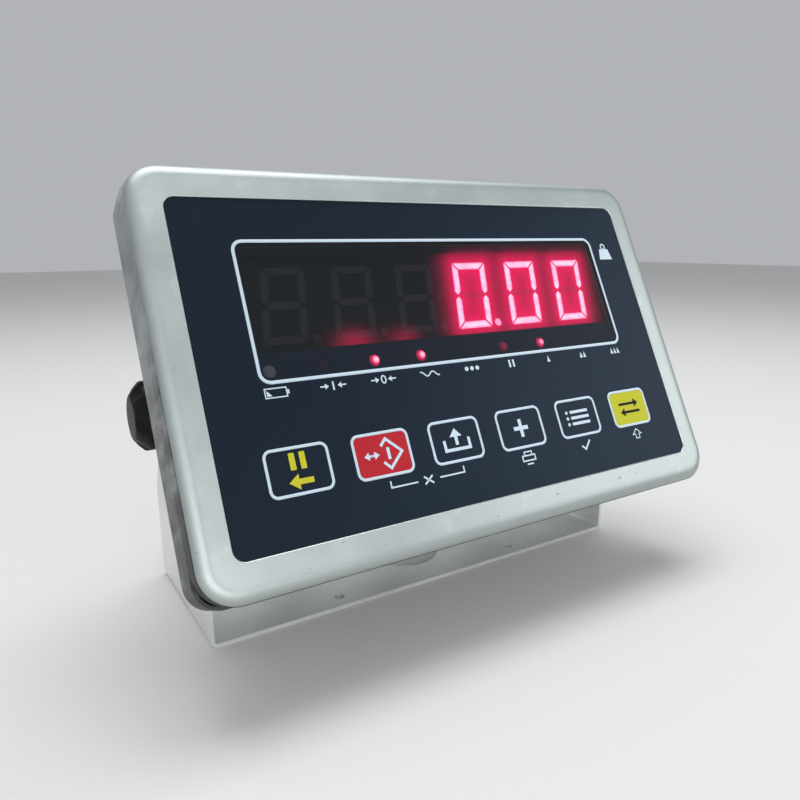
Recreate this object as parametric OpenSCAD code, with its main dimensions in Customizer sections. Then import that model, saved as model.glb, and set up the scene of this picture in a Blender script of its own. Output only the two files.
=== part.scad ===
// Panel weighing indicator: a stainless housing with a red LED display and six membrane keys,
// held by two clamp knobs in a U-shaped bracket that lets it tilt.
// Millimetres. The origin is the centre of the bracket's underside, +Z is up, the display faces -Y.

/* [Housing] */
// Width of the front cover and of the rear case's wide band
case_w = 254; // [250:1:262]
// Height of the housing, along its face
case_h = 158.5; // [156:0.5:166]
// Sheet thickness of the cover and the case
case_t = 1.2; // [0.8:0.1:1.5]
// Corner radius of the front cover's outline
cover_r = 14; // [11:0.5:17]
// Radius of the drawn edge between the cover's face and its skirt
edge_r = 5; // [4:0.25:5.5]
// Depth by which the ground side cuts into the drawn edge and leaves a crisp line
edge_trim = 0.55; // [0.2:0.05:0.8]
// Radius of the soft lip round the membrane
lip_r = 0.5; // [0.3:0.05:0.7]
// Width of the cover's face at the left and right of the membrane
bezel_side = 12.7; // [12.2:0.1:14]
// Width of the cover's face above and below the membrane
bezel_end = 13.55; // [12.8:0.05:14.5]
// Height of the bezel above the membrane
bezel_rise = 0.7; // [0.4:0.1:1.2]
// Depth of the cover's skirt, from the bezel's face
skirt_depth = 10.7; // [9:0.1:13]
// Corner radius of the rear case's wide band
band_r = 10; // [7:0.5:13]
// Depth of the rear case's wide band
band_depth = 18; // [16:0.5:21]
// Radius of the drawn edge between the band and the step behind it
step_r = 4; // [3:0.25:5]
// Gap at the seam between cover and case
seam_gap = 0.05; // [0.05:0.05:0.3]
// Width of the step at the left and right of the tub
step_side = 18.5; // [17.5:0.25:20]
// Width of the step above and below the tub
step_end = 15.25; // [14.75:0.25:17]
// Depth of the tub behind the step
tub_depth = 52; // [50:0.5:56]
// Corner radius of the tub's outline
tub_r = 16; // [12:0.5:20]
// Radius of the drawn edge round the tub's rear wall
tub_edge_r = 6; // [4:0.5:8]
// Radius of the drawn hollow between step and tub
root_r = 3; // [2:0.25:3.5]

/* [Cover screws] */
// Clearance of the posts welded inside the cover from its recess and its edge
post_clear = 0.6; // [0.4:0.05:0.9]
// Shank radius of the screws that hold cover and case together
case_screw_r = 1.5; // [1.25:0.05:1.6]
// Head height of those screws
case_screw_head_h = 2; // [1.5:0.1:2.5]
// Length of a screw's shank under its head
case_screw_len = 12; // [8:0.5:16]
// Height of the side posts above the middle, as a share of the housing's height
post_up_share = 0.328; // [0.29:0.002:0.34]

/* [Gasket] */
// Width of the rubber gasket inside the seam
gasket_w = 2.4; // [1.8:0.1:3]
// Depth of the gasket
gasket_d = 6; // [4:0.5:7]

/* [Front panel] */
// Corner radius of the recess
panel_r = 4.5; // [3:0.5:6]
// Thickness of the printed overlay
overlay_t = 0.6; // [0.5:0.05:0.7]
// Thickness of the spacer that gives the keys their travel
spacer_t = 0.9; // [0.85:0.05:1.1]
// Thickness of the circuit layer under the spacer
circuit_t = 0.4; // [0.3:0.05:0.6]
// Width of the membrane at the left and right of the display window
window_side = 21.8; // [20:0.1:24]
// Distance of the display window from the membrane's upper edge
window_top = 17.4; // [16:0.1:19]
// Height of the display window, as a share of the membrane's height
window_h_share = 0.4186; // [0.41:0.0002:0.43]
// Corner radius of the display window
window_r = 4; // [3:0.25:5]
// Width of the ledge that carries the window pane
window_ledge = 1.6; // [1.2:0.1:1.8]
// Width of the membrane's flat tail
tail_w = 16; // [12:1:20]
// Thickness of the tail
tail_t = 0.5; // [0.4:0.05:0.7]

/* [Keys] */
// Number of keys in the row
key_count = 6;
// Distance from one key to the next, as a share of the window's width
key_pitch_share = 0.18486; // [0.18:0.0002:0.19]
// Width of a key, to the middle of its outline, as a share of that distance
key_w_share = 0.696; // [0.65:0.002:0.74]
// Height of a key, to the middle of its outline, as a share of the membrane's height
key_h_share = 0.1263; // [0.115:0.0005:0.135]
// Corner radius of a key
key_r = 2.5; // [2:0.1:3]
// Distance of the key row's middle from the membrane's lower edge
key_rise = 26.35; // [24:0.05:28]
// Travel of a key
key_travel = 0.4; // [0.3:0.05:0.4]
// Radius of the snap dome under each key
dome_r = 5; // [4:0.25:6]
// Height of a snap dome
dome_h = 0.35; // [0.25:0.05:0.4]

/* [Digits] */
// Number of digits
digit_count = 6;
// Distance from one digit to the next, as a share of the window's width
digit_pitch_share = 0.16216; // [0.1605:0.0001:0.163]
// Height of a digit, over its lit segments, as a share of the window's height
digit_h_share = 0.5636; // [0.55:0.002:0.575]
// Width of a digit, over its lit segments, as a share of the distance between digits
digit_w_share = 0.6133; // [0.58:0.002:0.63]
// Width of one segment
seg_t = 3.2; // [2.8:0.1:3.5]
// Gap between neighbouring segments
seg_gap = 0.45; // [0.3:0.05:0.7]
// Slant of the digits, in degrees
slant = 9; // [6:0.5:10]
// Radius of the decimal point
dot_r = 1.75; // [1.5:0.05:1.9]
// Height of the digits' middle above the window's middle, as a share of the window's height
digit_up_share = 0.0618; // [0.055:0.0005:0.065]
// Depth of the digits' faces behind the membrane's face
digit_back = 5.25; // [5:0.05:6]
// Gap between two digit modules
module_gap = 0.6; // [0.4:0.05:1]
// Height of a digit module above and below its segments
module_edge = 3; // [2.5:0.1:3.4]
// Depth of a digit module
module_d = 7; // [6:0.25:8]

/* [Status lamps] */
// Number of status lamps
lamp_count = 9;
// Distance from one lamp to the next, as a share of the window's width
lamp_pitch_share = 0.11811; // [0.117:0.0001:0.119]
// Radius of a lamp's dome
lamp_r = 2.5; // [2.2:0.05:2.6]
// Height of a lamp, tip to flange
lamp_h = 8.6; // [8:0.1:9]
// Distance of the lamps below the window's middle, as a share of the window's height
lamp_down_share = 0.4127; // [0.405:0.0005:0.418]
// Depth of a lamp's tip behind the membrane's face
lamp_back = 0.9; // [0.8:0.05:1.1]

/* [Boards] */
// Thickness of the circuit boards
board_t = 1.6; // [1.2:0.1:1.8]
// Width of the display board at the left and right of the digits
display_board_side = 9; // [8.5:0.1:10]
// Height of the display board beyond the window
display_board_over = 3; // [2.6:0.1:4]
// Height of the main board, as a share of the tub's height
main_board_h_share = 0.605; // [0.58:0.005:0.62]
// Gap between the main board and the transformer's core
main_board_gap = 18.6; // [16:0.2:22]
// Depth of the space behind the main board
main_board_rise = 17.5; // [16:0.25:19]
// Radius of the standoffs
standoff_r = 2.6; // [2.3:0.1:2.8]
// Shank radius of the board screws
board_screw_r = 1.2; // [1:0.05:1.3]
// Head radius of the board screws
board_screw_head_r = 2.4; // [2:0.1:2.6]
// Head height of the board screws
board_screw_head_h = 1.6; // [1.2:0.1:2]
// Length of a board screw's shank
board_screw_len = 6; // [4:0.5:7]

/* [Power] */
// Width of the rechargeable battery, as a share of the tub's width
battery_w_share = 0.6244; // [0.58:0.002:0.64]
// Gap between the battery's strap and the main board
battery_gap = 4.85; // [4:0.05:6]
// Gap between the battery and the display board's screws
battery_front_gap = 5.5; // [4:0.1:9]
// Width of the strap round the battery
strap_w = 14; // [10:1:18]
// Thickness of the strap
strap_t = 0.8; // [0.6:0.1:1]
// Width of the transformer's core, as a share of the tub's width
core_w_share = 0.2237; // [0.2:0.002:0.235]
// Height of the transformer's core, as a share of the tub's height
core_h_share = 0.2866; // [0.26:0.002:0.3]
// Thickness of the transformer's core stack
core_d = 20; // [16:1:22]
// Depth of the transformer over its winding
winding_d = 34; // [30:1:36]

/* [Cable glands] */
// Number of cable glands in the rear wall
gland_count = 3;
// Distance from one gland to the next, as a share of the tub's width
gland_pitch_share = 0.2857; // [0.26:0.002:0.3]
// Distance of the glands from the tub's lower side
gland_rise = 19; // [18.5:0.25:20]
// Radius of a gland's thread
gland_thread_r = 7.6; // [7:0.1:8]
// Radius of the bore for the cable through a gland and its seal
cable_bore_r = 3.5; // [3:0.1:4]
// Width of the gland body's hexagon, across its flats
gland_flats = 19; // [18:0.5:20]
// Thickness of the gland body's hexagon
gland_hex_h = 5; // [4:0.5:6]
// Length of the gland's cap nut
gland_cap_h = 15; // [13:0.5:17]
// Length of the gland's thread inside the case
gland_inside = 8; // [7:0.25:9]
// Thickness of the gland's locknut
locknut_h = 4; // [3:0.25:5]

/* [Bracket] */
// Sheet thickness of the bracket
bracket_t = 1.5; // [1.2:0.1:2]
// Depth of the bracket's base, front to back
bracket_d = 77; // [74:0.5:84]
// Height at which the arms start to narrow
arm_shoulder = 45; // [40:1:48]
// Radius of the arms' round tops
arm_r = 14; // [12:0.5:16]
// Inner radius of the bends
bend_r = 1.5; // [1:0.25:3]
// Distance between the left and right fixing holes
hole_span = 100; // [80:1:140]
// Distance of the fixing holes from the base's front and rear edges
hole_inset = 7.7; // [6:0.1:12]
// Radius of the fixing holes
hole_r = 2.3; // [2:0.1:3]
// Radius of the large hole in the base
cable_hole_r = 17.5; // [15:0.5:20]
// Distance of the large hole's middle from the base's front edge
cable_hole_in = 32.5; // [30:0.5:38]

/* [Tilt] */
// Height of the tilt axis beyond half the housing's height
pivot_rise = 10.25; // [9.5:0.25:16]
// Distance of the tilt axis behind the membrane's face
pivot_back = 62.5; // [61:0.25:66]
// Distance of the tilt axis above the panel's middle
pivot_up = 1; // [0:0.25:2]
// Tilt of the face, leaning back from upright, in degrees
tilt = 26.4; // [16:0.1:60]
// Radius of the studs' shanks
stud_r = 2.95; // [2.5:0.05:3.4]
// Running clearance round the studs
stud_clear = 0.3; // [0.15:0.05:0.5]
// Thickness of the rubber friction washers
washer_t = 1.25; // [1:0.05:2]
// Radius of the friction washers
washer_r = 10; // [8:0.5:12]
// Side clearance of each washer
washer_clear = 0.1; // [0.05:0.05:0.2]
// Thickness of the steel washers under the knobs
plate_washer_t = 1; // [0.8:0.1:1.5]
// Radius of the steel washers under the knobs
plate_washer_r = 7.5; // [6:0.25:9]
// Radius of a knob over its lobes
knob_r = 14.9; // [12.5:0.1:16]
// Length of a knob along its axis
knob_len = 14.3; // [12:0.1:18]
// Number of lobes round a knob
knob_lobes = 5;
// Depth of the hollows between the lobes
knob_hollow = 2.6; // [1.5:0.1:3.5]
// Radius of a knob's neck
knob_neck_r = 8; // [7:0.25:9.5]
// Length of a knob's neck
knob_neck_len = 3.2; // [2:0.1:4]
// Length of the bevel at a knob's outer end
knob_bevel = 4.5; // [3:0.25:6]
// Turn of the knobs' lobes about their axis, in degrees
knob_turn = 45; // [0:1:71]

/* [Hidden] */
$fn = 72;
// General clearance between pieces that are pushed together
fit = 0.15;
// Clearance of the closest seats
fine_fit = 0.05;
// Overrun of every cut
cut = 1;

// Rounds a size that follows from a share to the drawing's smallest step
drawn_step = 0.1;
function drawn(size) = round(size / drawn_step) * drawn_step;

// Sizes across the face that follow from the housing's
panel_w = case_w - 2 * bezel_side;
panel_h = case_h - 2 * bezel_end;
tub_w = case_w - 2 * step_side;
tub_h = case_h - 2 * step_end;
window_w = panel_w - 2 * window_side;
window_h = drawn(panel_h * window_h_share);
window_up = (panel_h - window_h) / 2 - window_top;
key_pitch = drawn(window_w * key_pitch_share);
key_w = drawn(key_pitch * key_w_share);
key_h = drawn(panel_h * key_h_share);
key_down = panel_h / 2 - key_rise;
digit_pitch = drawn(window_w * digit_pitch_share);
digit_h = drawn(window_h * digit_h_share);
digit_w = drawn(digit_pitch * digit_w_share);
digit_up = window_up + window_h * digit_up_share;
module_w = digit_pitch - module_gap;
module_h = digit_h + 2 * module_edge;
lamp_pitch = drawn(window_w * lamp_pitch_share);
lamp_down = window_h * lamp_down_share - window_up;
pivot_h = case_h / 2 + pivot_rise;

// Depths in the face's own frame, measured from the membrane's front, out of the face
cover_in = bezel_rise - case_t;
seam_z = bezel_rise - skirt_depth;
band_z = seam_z - seam_gap;
step_z = band_z - band_depth;
tub_z = step_z - tub_depth;
tub_in = tub_z + case_t;
spacer_z = -overlay_t;
circuit_z = spacer_z - spacer_t;
floor_z = circuit_z - circuit_t;
floor_in = floor_z - case_t;
digit_z = -digit_back;
display_board_z = digit_z - module_d;
display_board_in = display_board_z - board_t;
main_board_z = tub_in + main_board_rise;
main_board_face = main_board_z + board_t;

// Cover posts: four at the sides, one above and one below
edge_in = edge_r - edge_trim;
post_x = (panel_w + 2 * case_t + case_w - 2 * edge_in) / 4;
post_y = (panel_h + 2 * case_t + case_h - 2 * edge_in) / 4;
post_up = case_h * post_up_share;
post_r = (min(bezel_side, bezel_end) - case_t - edge_in) / 2 - post_clear;
case_screw_head_r = post_r;
post_places = [[-post_x, -post_up], [post_x, -post_up], [-post_x, post_up], [post_x, post_up],
               [0, -post_y], [0, post_y]];

// Opening in the cover's panel for the digits
digit_open_w = window_w - 2 * window_ledge - case_t;
digit_open_h = module_h + case_t;
digit_open_r = window_r - window_ledge;

// Display board, centred behind the window
display_up = window_up + fit;
display_board_w = digit_count * digit_pitch + 2 * display_board_side;
display_board_h = window_h + display_board_over;
board_inset = 4;
display_hole_x = display_board_w / 2 - board_inset;
display_hole_y = display_board_h / 2 - board_inset;
lamp_hole_r = lamp_r + 2 * fine_fit;
lamp_flange_r = lamp_r + 2 * fit;
lamp_flange_h = 1;
lead_w = 0.5;
lead_pitch = 2.54;

// Main board, in the lower right of the tub
tub_room_w = tub_w - 2 * case_t;
tub_room_h = tub_h - 2 * case_t;
board_edge = 13;
core_w = tub_room_w * core_w_share;
core_h = tub_room_h * core_h_share;
main_board_w = tub_room_w - 2 * board_edge - core_w - main_board_gap;
main_board_h = tub_room_h * main_board_h_share;
main_board_x = tub_room_w / 2 - board_edge - main_board_w / 2;
main_board_y = -tub_room_h / 2 + board_inset + main_board_h / 2;
main_hole_x = main_board_w / 2 - board_inset;
main_hole_y = main_board_h / 2 - board_inset;

// Battery at the top of the tub, transformer at the left
battery_w = tub_room_w * battery_w_share;
battery_h = tub_room_h - tub_edge_r - 2 * strap_t - fit - board_inset - main_board_h - battery_gap;
battery_y = tub_room_h / 2 - tub_edge_r - strap_t - battery_h / 2;
battery_z = tub_in + fit;
battery_d = display_board_in - board_screw_head_h - battery_front_gap - battery_z;
core_x = -tub_room_w / 2 + board_edge + core_w / 2;
core_y = -core_h / 6;
terminal_w = 5;
terminal_count = 12;
terminal_h = 10;
terminal_d = 11;

// Tail of the membrane circuit
tail_slot_y = window_up - window_h / 2 - board_inset;
tail_reach = display_board_in - floor_z;

// Ribbon cable between the boards
ribbon_w = 26;
ribbon_t = 1.2;
header_w = 30;
header_h = 6;
header_d = 8;
ribbon_x = main_board_x + header_w / 2;
ribbon_y = main_board_y + main_board_h / 2 - 2 * header_h;

// Chips and capacitors: place across the board, place up the board, size, as shares of the board
chip_shares = [[-0.28, 0.16, 0.14], [-0.13, 0.19, 0.1], [-0.02, -0.03, 0.07], [0.22, 0.02, 0.09]];
chip_h = 1.8;
capacitor_shares = [[-0.38, -0.05], [-0.42, -0.14], [0.38, 0.12]];
capacitor_r = 4;
capacitor_h = 12;

// Glands
gland_pitch = tub_w * gland_pitch_share;
gland_down = tub_h / 2 - gland_rise;
gland_hex_r = gland_flats / 2 / cos(30);
gland_cap_r = gland_flats / 2 + case_t;
gland_wall = 1.6;
gland_nose = 4;
seal_len = 8;
seal_r = gland_cap_r - 2 * gland_wall;
locknut_r = gland_hex_r + case_t;

// Bracket and tilt
arm_in = tub_w / 2 + washer_t + 2 * washer_clear;
arm_out = arm_in + bracket_t;
arm_top = pivot_h + arm_r;
stud_hole_r = stud_r + stud_clear;
weld_nut_r = 5.5;
weld_nut_h = 7;
knob_base = arm_out + plate_washer_t + 2 * washer_clear;
knob_end = knob_base + knob_len;
knob_hollow_r = knob_r * 0.45;
knob_cap_r = knob_r * 0.62;
stud_inside = tub_w / 2 - case_t - weld_nut_h;
stud_end = knob_base + knob_len * 2 / 3;

// Turns a piece drawn on the face (x right, y up, z out of the face) into its tilted place
module on_face()
    translate([0, 0, pivot_h]) rotate([-tilt, 0, 0]) translate([0, -pivot_back, -pivot_up])
        rotate([90, 0, 0]) children();

// Lays a piece drawn along +Z on the tilt axis, pointing to the right (side 1) or left (side -1)
module on_pivot(side)
    translate([0, 0, pivot_h]) rotate([-tilt, 0, 0]) rotate([0, side * 90, 0]) children();

module round_rect(w, h, r) {
    square([w - 2 * r, h], center = true);
    square([w, h - 2 * r], center = true);
    for (sx = [-1, 1], sy = [-1, 1]) translate([sx * (w / 2 - r), sy * (h / 2 - r)]) circle(r = r);
}

// A plate with rounded corners between two heights
module slab(w, h, r, low, high) translate([0, 0, low]) linear_extrude(high - low) round_rect(w, h, r);

// A cylinder between two heights
module rod(r, low, high) translate([0, 0, low]) cylinder(r = r, h = high - low);

// Sweeps a profile (x = 0 on the outer face, y = height) round a rectangle with round corners
module swept(w, h, r) {
    for (k = [0:3]) {
        across = k % 2 == 0 ? w : h;
        along = k % 2 == 0 ? h : w;
        rotate([0, 0, 90 * k]) {
            translate([across / 2 - r, along / 2 - r, 0]) rotate_extrude(angle = 90)
                translate([r, 0]) children();
            translate([across / 2 - r, 0, 0]) rotate([90, 0, 0])
                linear_extrude(along - 2 * r, center = true) translate([r, 0]) children();
        }
    }
}

// Half of a wall's outline: a block from x = -depth to 0 whose top outer corner is rounded
module rounded_block(depth, low, high, r) {
    translate([-depth, low]) square([depth, high - r - low]);
    translate([-depth, low]) square([depth - r, high - low]);
    translate([-r, high - r]) circle(r = r);
}

// The drawn skin of such a block: its wall and its top, one sheet thick
module drawn_skin(depth, low, high, r)
    difference() {
        rounded_block(depth, low, high, r);
        translate([-case_t, 0]) rounded_block(depth, low - cut, high - case_t, r - case_t);
    }

// The cover's skin: a drawn edge that the ground side cuts off before it is square to the face
module cover_skin()
    difference() {
        intersection() {
            translate([edge_trim, 0]) rounded_block(cover_r + edge_trim, seam_z, bezel_rise, edge_r);
            translate([-cover_r, seam_z]) square([cover_r, skirt_depth]);
        }
        intersection() {
            translate([edge_trim - case_t, 0])
                rounded_block(cover_r + edge_trim, seam_z - cut, cover_in, edge_r - case_t + edge_trim);
            translate([-cover_r - cut, seam_z - cut]) square([cover_r + cut - case_t, skirt_depth + cut]);
        }
    }

// Front cover: drawn face and skirt, with the recess for the membrane pressed into the face
module front_cover() color([0.80, 0.82, 0.82]) on_face() difference() {
    union() {
        swept(case_w, case_h, cover_r) cover_skin();
        translate([0, 0, cover_in]) linear_extrude(case_t)
            square([case_w - 2 * cover_r, case_h - 2 * cover_r], center = true);
        slab(panel_w + 2 * case_t, panel_h + 2 * case_t, panel_r + case_t, floor_in, bezel_rise);
    }
    slab(panel_w, panel_h, panel_r, floor_z, bezel_rise + cut);
    swept(panel_w + 2 * lip_r, panel_h + 2 * lip_r, panel_r + lip_r) difference() {
        translate([-lip_r, bezel_rise - lip_r]) square([lip_r, lip_r + cut]);
        translate([0, bezel_rise - lip_r]) circle(r = lip_r);
        translate([0, bezel_rise - lip_r]) square([lip_r, lip_r + 2 * cut]);
    }
    translate([0, digit_up, 0]) slab(digit_open_w, digit_open_h, digit_open_r, floor_in - cut, bezel_rise);
    for (k = [0:lamp_count - 1]) translate([(k - (lamp_count - 1) / 2) * lamp_pitch, -lamp_down, 0])
        rod(lamp_hole_r, floor_in - cut, bezel_rise);
    translate([0, tail_slot_y, floor_in - cut]) linear_extrude(case_t + 2 * cut)
        square([tail_w + 2 * fit, 2 * tail_t + 2 * fit], center = true);
}

// Rear case: the wide band, the step behind it and the narrow tub, drawn from one sheet
module rear_case() color([0.70, 0.72, 0.73]) on_face() difference() {
    union() {
        mirror([0, 0, 1]) swept(case_w, case_h, band_r) drawn_skin(band_r, -band_z, -step_z, step_r);
        translate([0, 0, step_z]) linear_extrude(case_t)
            square([case_w - 2 * band_r, case_h - 2 * band_r], center = true);
        mirror([0, 0, 1]) swept(tub_w, tub_h, tub_r) {
            drawn_skin(tub_r, -step_z - case_t, -tub_z, tub_edge_r);
            difference() {
                translate([0, -step_z]) square([root_r, root_r]);
                translate([root_r, root_r - step_z]) circle(r = root_r);
            }
        }
        translate([0, 0, tub_z]) linear_extrude(case_t)
            square([tub_w - 2 * tub_r, tub_h - 2 * tub_r], center = true);
    }
    slab(tub_w - 2 * case_t, tub_h - 2 * case_t, tub_r - case_t, step_z - fine_fit, step_z + case_t + cut);
    for (p = post_places) translate([p[0], p[1], 0])
        rod(case_screw_r + fit, step_z - cut, step_z + case_t + cut);
    translate([0, pivot_up, -pivot_back]) rotate([0, 90, 0])
        cylinder(r = stud_hole_r, h = tub_w + 2 * case_t, center = true);
    for (k = [0:gland_count - 1]) translate([(k - (gland_count - 1) / 2) * gland_pitch, -gland_down, 0])
        rod(gland_thread_r + fit, tub_z - cut, tub_in + cut);
}

// Rubber ring that seals the seam from inside
module case_gasket() color([0.12, 0.12, 0.13]) on_face() {
    out = case_t + fit;
    difference() {
        slab(case_w - 2 * out, case_h - 2 * out, cover_r - out, seam_z - gasket_d / 2, seam_z + gasket_d / 2);
        slab(case_w - 2 * (out + gasket_w), case_h - 2 * (out + gasket_w), cover_r - out - gasket_w,
             seam_z - gasket_d, seam_z + gasket_d);
    }
}

// Threaded posts welded behind the cover's face
module cover_posts() color([0.75, 0.76, 0.78]) on_face()
    for (p = post_places) translate([p[0], p[1], 0]) difference() {
        rod(post_r, step_z + case_t, cover_in);
        rod(case_screw_r + fine_fit, step_z, step_z + case_t + case_screw_len);
    }

// Screws from the step into the posts
module case_screws() color([0.62, 0.63, 0.66]) on_face()
    for (p = post_places) translate([p[0], p[1], 0]) {
        rod(case_screw_r, step_z - fine_fit, step_z + case_screw_len);
        difference() {
            rod(case_screw_head_r, step_z - case_screw_head_h, step_z);
            linear_extrude(2 * (case_screw_head_h / 2 - step_z), center = true)
                square([case_screw_head_r, case_screw_r / 3], center = true);
            linear_extrude(2 * (case_screw_head_h / 2 - step_z), center = true)
                square([case_screw_r / 3, case_screw_head_r], center = true);
        }
    }

// Places a child at each key
module at_keys() for (k = [0:key_count - 1])
    translate([(k - (key_count - 1) / 2) * key_pitch, -key_down, 0]) children();

// Printed overlay with holes for the window and the keys
module membrane_overlay() color([0.13, 0.16, 0.20]) on_face() difference() {
    slab(panel_w - 2 * fit, panel_h - 2 * fit, panel_r - fit, -overlay_t, 0);
    translate([0, window_up, 0]) slab(window_w + 2 * fit, window_h + 2 * fit, window_r + fit, -overlay_t - cut, cut);
    at_keys() slab(key_w + 2 * fit, key_h + 2 * fit, key_r + fit, -overlay_t - cut, cut);
}

// Smoked pane over the digits and lamps
module display_window() color([0.16, 0.10, 0.10, 0.6]) on_face() translate([0, window_up, 0])
    slab(window_w - 2 * fit, window_h - 2 * fit, window_r - fit, -overlay_t, 0);

// Spacer with the clear window and the wells that the keys sink into
module membrane_spacer() color([0.10, 0.10, 0.11]) on_face() difference() {
    slab(panel_w - 2 * fit, panel_h - 2 * fit, panel_r - fit, circuit_z, spacer_z);
    translate([0, window_up, 0]) slab(window_w - 2 * window_ledge, window_h - 2 * window_ledge,
        window_r - window_ledge, circuit_z - cut, spacer_z + cut);
    at_keys() slab(key_w + 2 * fit, key_h + 2 * fit, key_r + fit, circuit_z - cut, spacer_z + cut);
}

// Circuit layer, with its tail led through the cover to the display board
module membrane_circuit() color([0.78, 0.74, 0.62]) on_face() {
    difference() {
        slab(panel_w - 2 * fit, panel_h - 2 * fit, panel_r - fit, floor_z, circuit_z);
        translate([0, window_up, 0]) slab(window_w - 2 * window_ledge, window_h - 2 * window_ledge,
            window_r - window_ledge, floor_z - cut, circuit_z + cut);
    }
    translate([-tail_w / 2, tail_slot_y - tail_t / 2, floor_z + tail_reach])
        cube([tail_w, tail_t, -tail_reach + circuit_t / 2]);
    translate([-tail_w / 2, tail_slot_y - tail_t / 2, display_board_in - tail_t])
        cube([tail_w, 2 * board_inset, tail_t]);
}

// Snap domes on the circuit layer, one under each key
module key_domes() color([0.80, 0.80, 0.78]) on_face() at_keys() rod(dome_r, circuit_z, circuit_z + dome_h);

// One key: the part of the overlay that gives way under a finger
module key_pad(place, tone) color(tone) on_face()
    translate([(place - (key_count - 1) / 2) * key_pitch, -key_down, 0])
        slab(key_w - 2 * fit, key_h - 2 * fit, key_r - fit, -overlay_t, 0);

// Outline of one segment, in a digit of half width w and half height h
function lean(points) = [for (p = points) [p[0] + p[1] * tan(slant), p[1]]];
function bar(w, h, t, g) = [[g - w, h], [w - g, h], [w - t - g, h - t], [t + g - w, h - t]];
function post(w, h, t, g) = [[-w, h - g], [t - w, h - t - g], [t - w, t / 2 + g], [t / 2 - w, g], [-w, t / 2 + g]];
function middle(w, t, g) = [[t / 2 + g - w, 0], [t + g - w, t / 2], [w - t - g, t / 2],
                            [w - t / 2 - g, 0], [w - t - g, -t / 2], [t + g - w, -t / 2]];
function turned(points, sx, sy) = [for (p = points) [p[0] * sx, p[1] * sy]];

// The seven slanted segments and the decimal point, drawn smaller by the clearance c
module segment_shapes(c) {
    w = digit_w / 2 - c;
    h = digit_h / 2 - c;
    t = seg_t - 2 * c;
    g = seg_gap + c;
    for (s = [-1, 1]) polygon(lean(turned(bar(w, h, t, g), 1, s)));
    for (sx = [-1, 1], sy = [-1, 1]) polygon(lean(turned(post(w, h, t, g), sx, sy)));
    polygon(lean(middle(w, t, g)));
    translate([module_w / 2 - 2.4 * dot_r, dot_r - digit_h / 2]) circle(r = dot_r - c);
}

// Places a child at one digit
module at_digit(place) on_face()
    translate([(place - (digit_count + 1) / 2) * digit_pitch, digit_up, 0]) children();

// Digit module: a black block with a pocket for each segment
module digit_block(place) color([0.10, 0.10, 0.11]) at_digit(place) difference() {
    translate([-module_w / 2, -module_h / 2, display_board_z]) cube([module_w, module_h, module_d]);
    translate([0, 0, digit_z - module_d / 5]) linear_extrude(module_d) segment_shapes(0);
}

// Light diffusers that fill the pockets, flush with the module's face
module segment_set(place) color(place > digit_count / 2 ? [1.0, 0.25, 0.35] : [0.24, 0.22, 0.22]) at_digit(place)
    translate([0, 0, digit_z - module_d / 5]) linear_extrude(module_d / 5) segment_shapes(fine_fit);

// Round status lamps with a flange and two leads each
module status_lamps() color([0.75, 0.10, 0.14]) on_face() for (k = [0:lamp_count - 1])
    translate([(k - (lamp_count - 1) / 2) * lamp_pitch, -lamp_down, 0]) {
        translate([0, 0, -lamp_back - lamp_r]) sphere(r = lamp_r);
        rod(lamp_r, -lamp_back - lamp_h, -lamp_back - lamp_r);
        rod(lamp_flange_r, -lamp_back - lamp_h, -lamp_back - lamp_h + lamp_flange_h);
        for (s = [-1, 1]) translate([s * lead_pitch / 2 - lead_w / 2, -lead_w / 2, display_board_z])
            cube([lead_w, lead_w, -lamp_back - lamp_h + lamp_flange_h / 2 - display_board_z]);
    }

// Places a child at a board's four corner holes
module at_corners(x, y, dx, dy) for (sx = [-1, 1], sy = [-1, 1]) translate([x + sx * dx, y + sy * dy, 0]) children();

module display_board() color([0.07, 0.33, 0.18]) on_face() difference() {
    translate([-display_board_w / 2, display_up - display_board_h / 2, display_board_in])
        cube([display_board_w, display_board_h, board_t]);
    at_corners(0, display_up, display_hole_x, display_hole_y)
        rod(board_screw_r + fit, display_board_in - cut, display_board_z + cut);
}

module display_standoffs() color([0.82, 0.68, 0.36]) on_face()
    at_corners(0, display_up, display_hole_x, display_hole_y) difference() {
        rod(standoff_r, display_board_z, floor_in);
        rod(board_screw_r + fine_fit, display_board_z - cut, display_board_z + board_screw_len);
    }

module display_screws() color([0.62, 0.63, 0.66]) on_face()
    at_corners(0, display_up, display_hole_x, display_hole_y) {
        rod(board_screw_r, display_board_in - fine_fit, display_board_in + board_screw_len);
        rod(board_screw_head_r, display_board_in - board_screw_head_h, display_board_in);
    }

module main_board() color([0.07, 0.33, 0.18]) on_face() difference() {
    translate([main_board_x - main_board_w / 2, main_board_y - main_board_h / 2, main_board_z])
        cube([main_board_w, main_board_h, board_t]);
    at_corners(main_board_x, main_board_y, main_hole_x, main_hole_y)
        rod(board_screw_r + fit, main_board_z - cut, main_board_face + cut);
}

module board_standoffs() color([0.82, 0.68, 0.36]) on_face()
    at_corners(main_board_x, main_board_y, main_hole_x, main_hole_y) difference() {
        rod(standoff_r, tub_in, main_board_z);
        rod(board_screw_r + fine_fit, main_board_z - board_screw_len, main_board_z + cut);
    }

module board_screws() color([0.62, 0.63, 0.66]) on_face()
    at_corners(main_board_x, main_board_y, main_hole_x, main_hole_y) {
        rod(board_screw_r, main_board_face - board_screw_len, main_board_face + fine_fit);
        rod(board_screw_head_r, main_board_face, main_board_face + board_screw_head_h);
    }

module board_chips() color([0.10, 0.10, 0.11]) on_face() for (c = chip_shares) {
    side = c[2] * main_board_w;
    translate([main_board_x + c[0] * main_board_w - side / 2, main_board_y + c[1] * main_board_w - side / 2,
               main_board_face]) cube([side, side, chip_h]);
}

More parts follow.
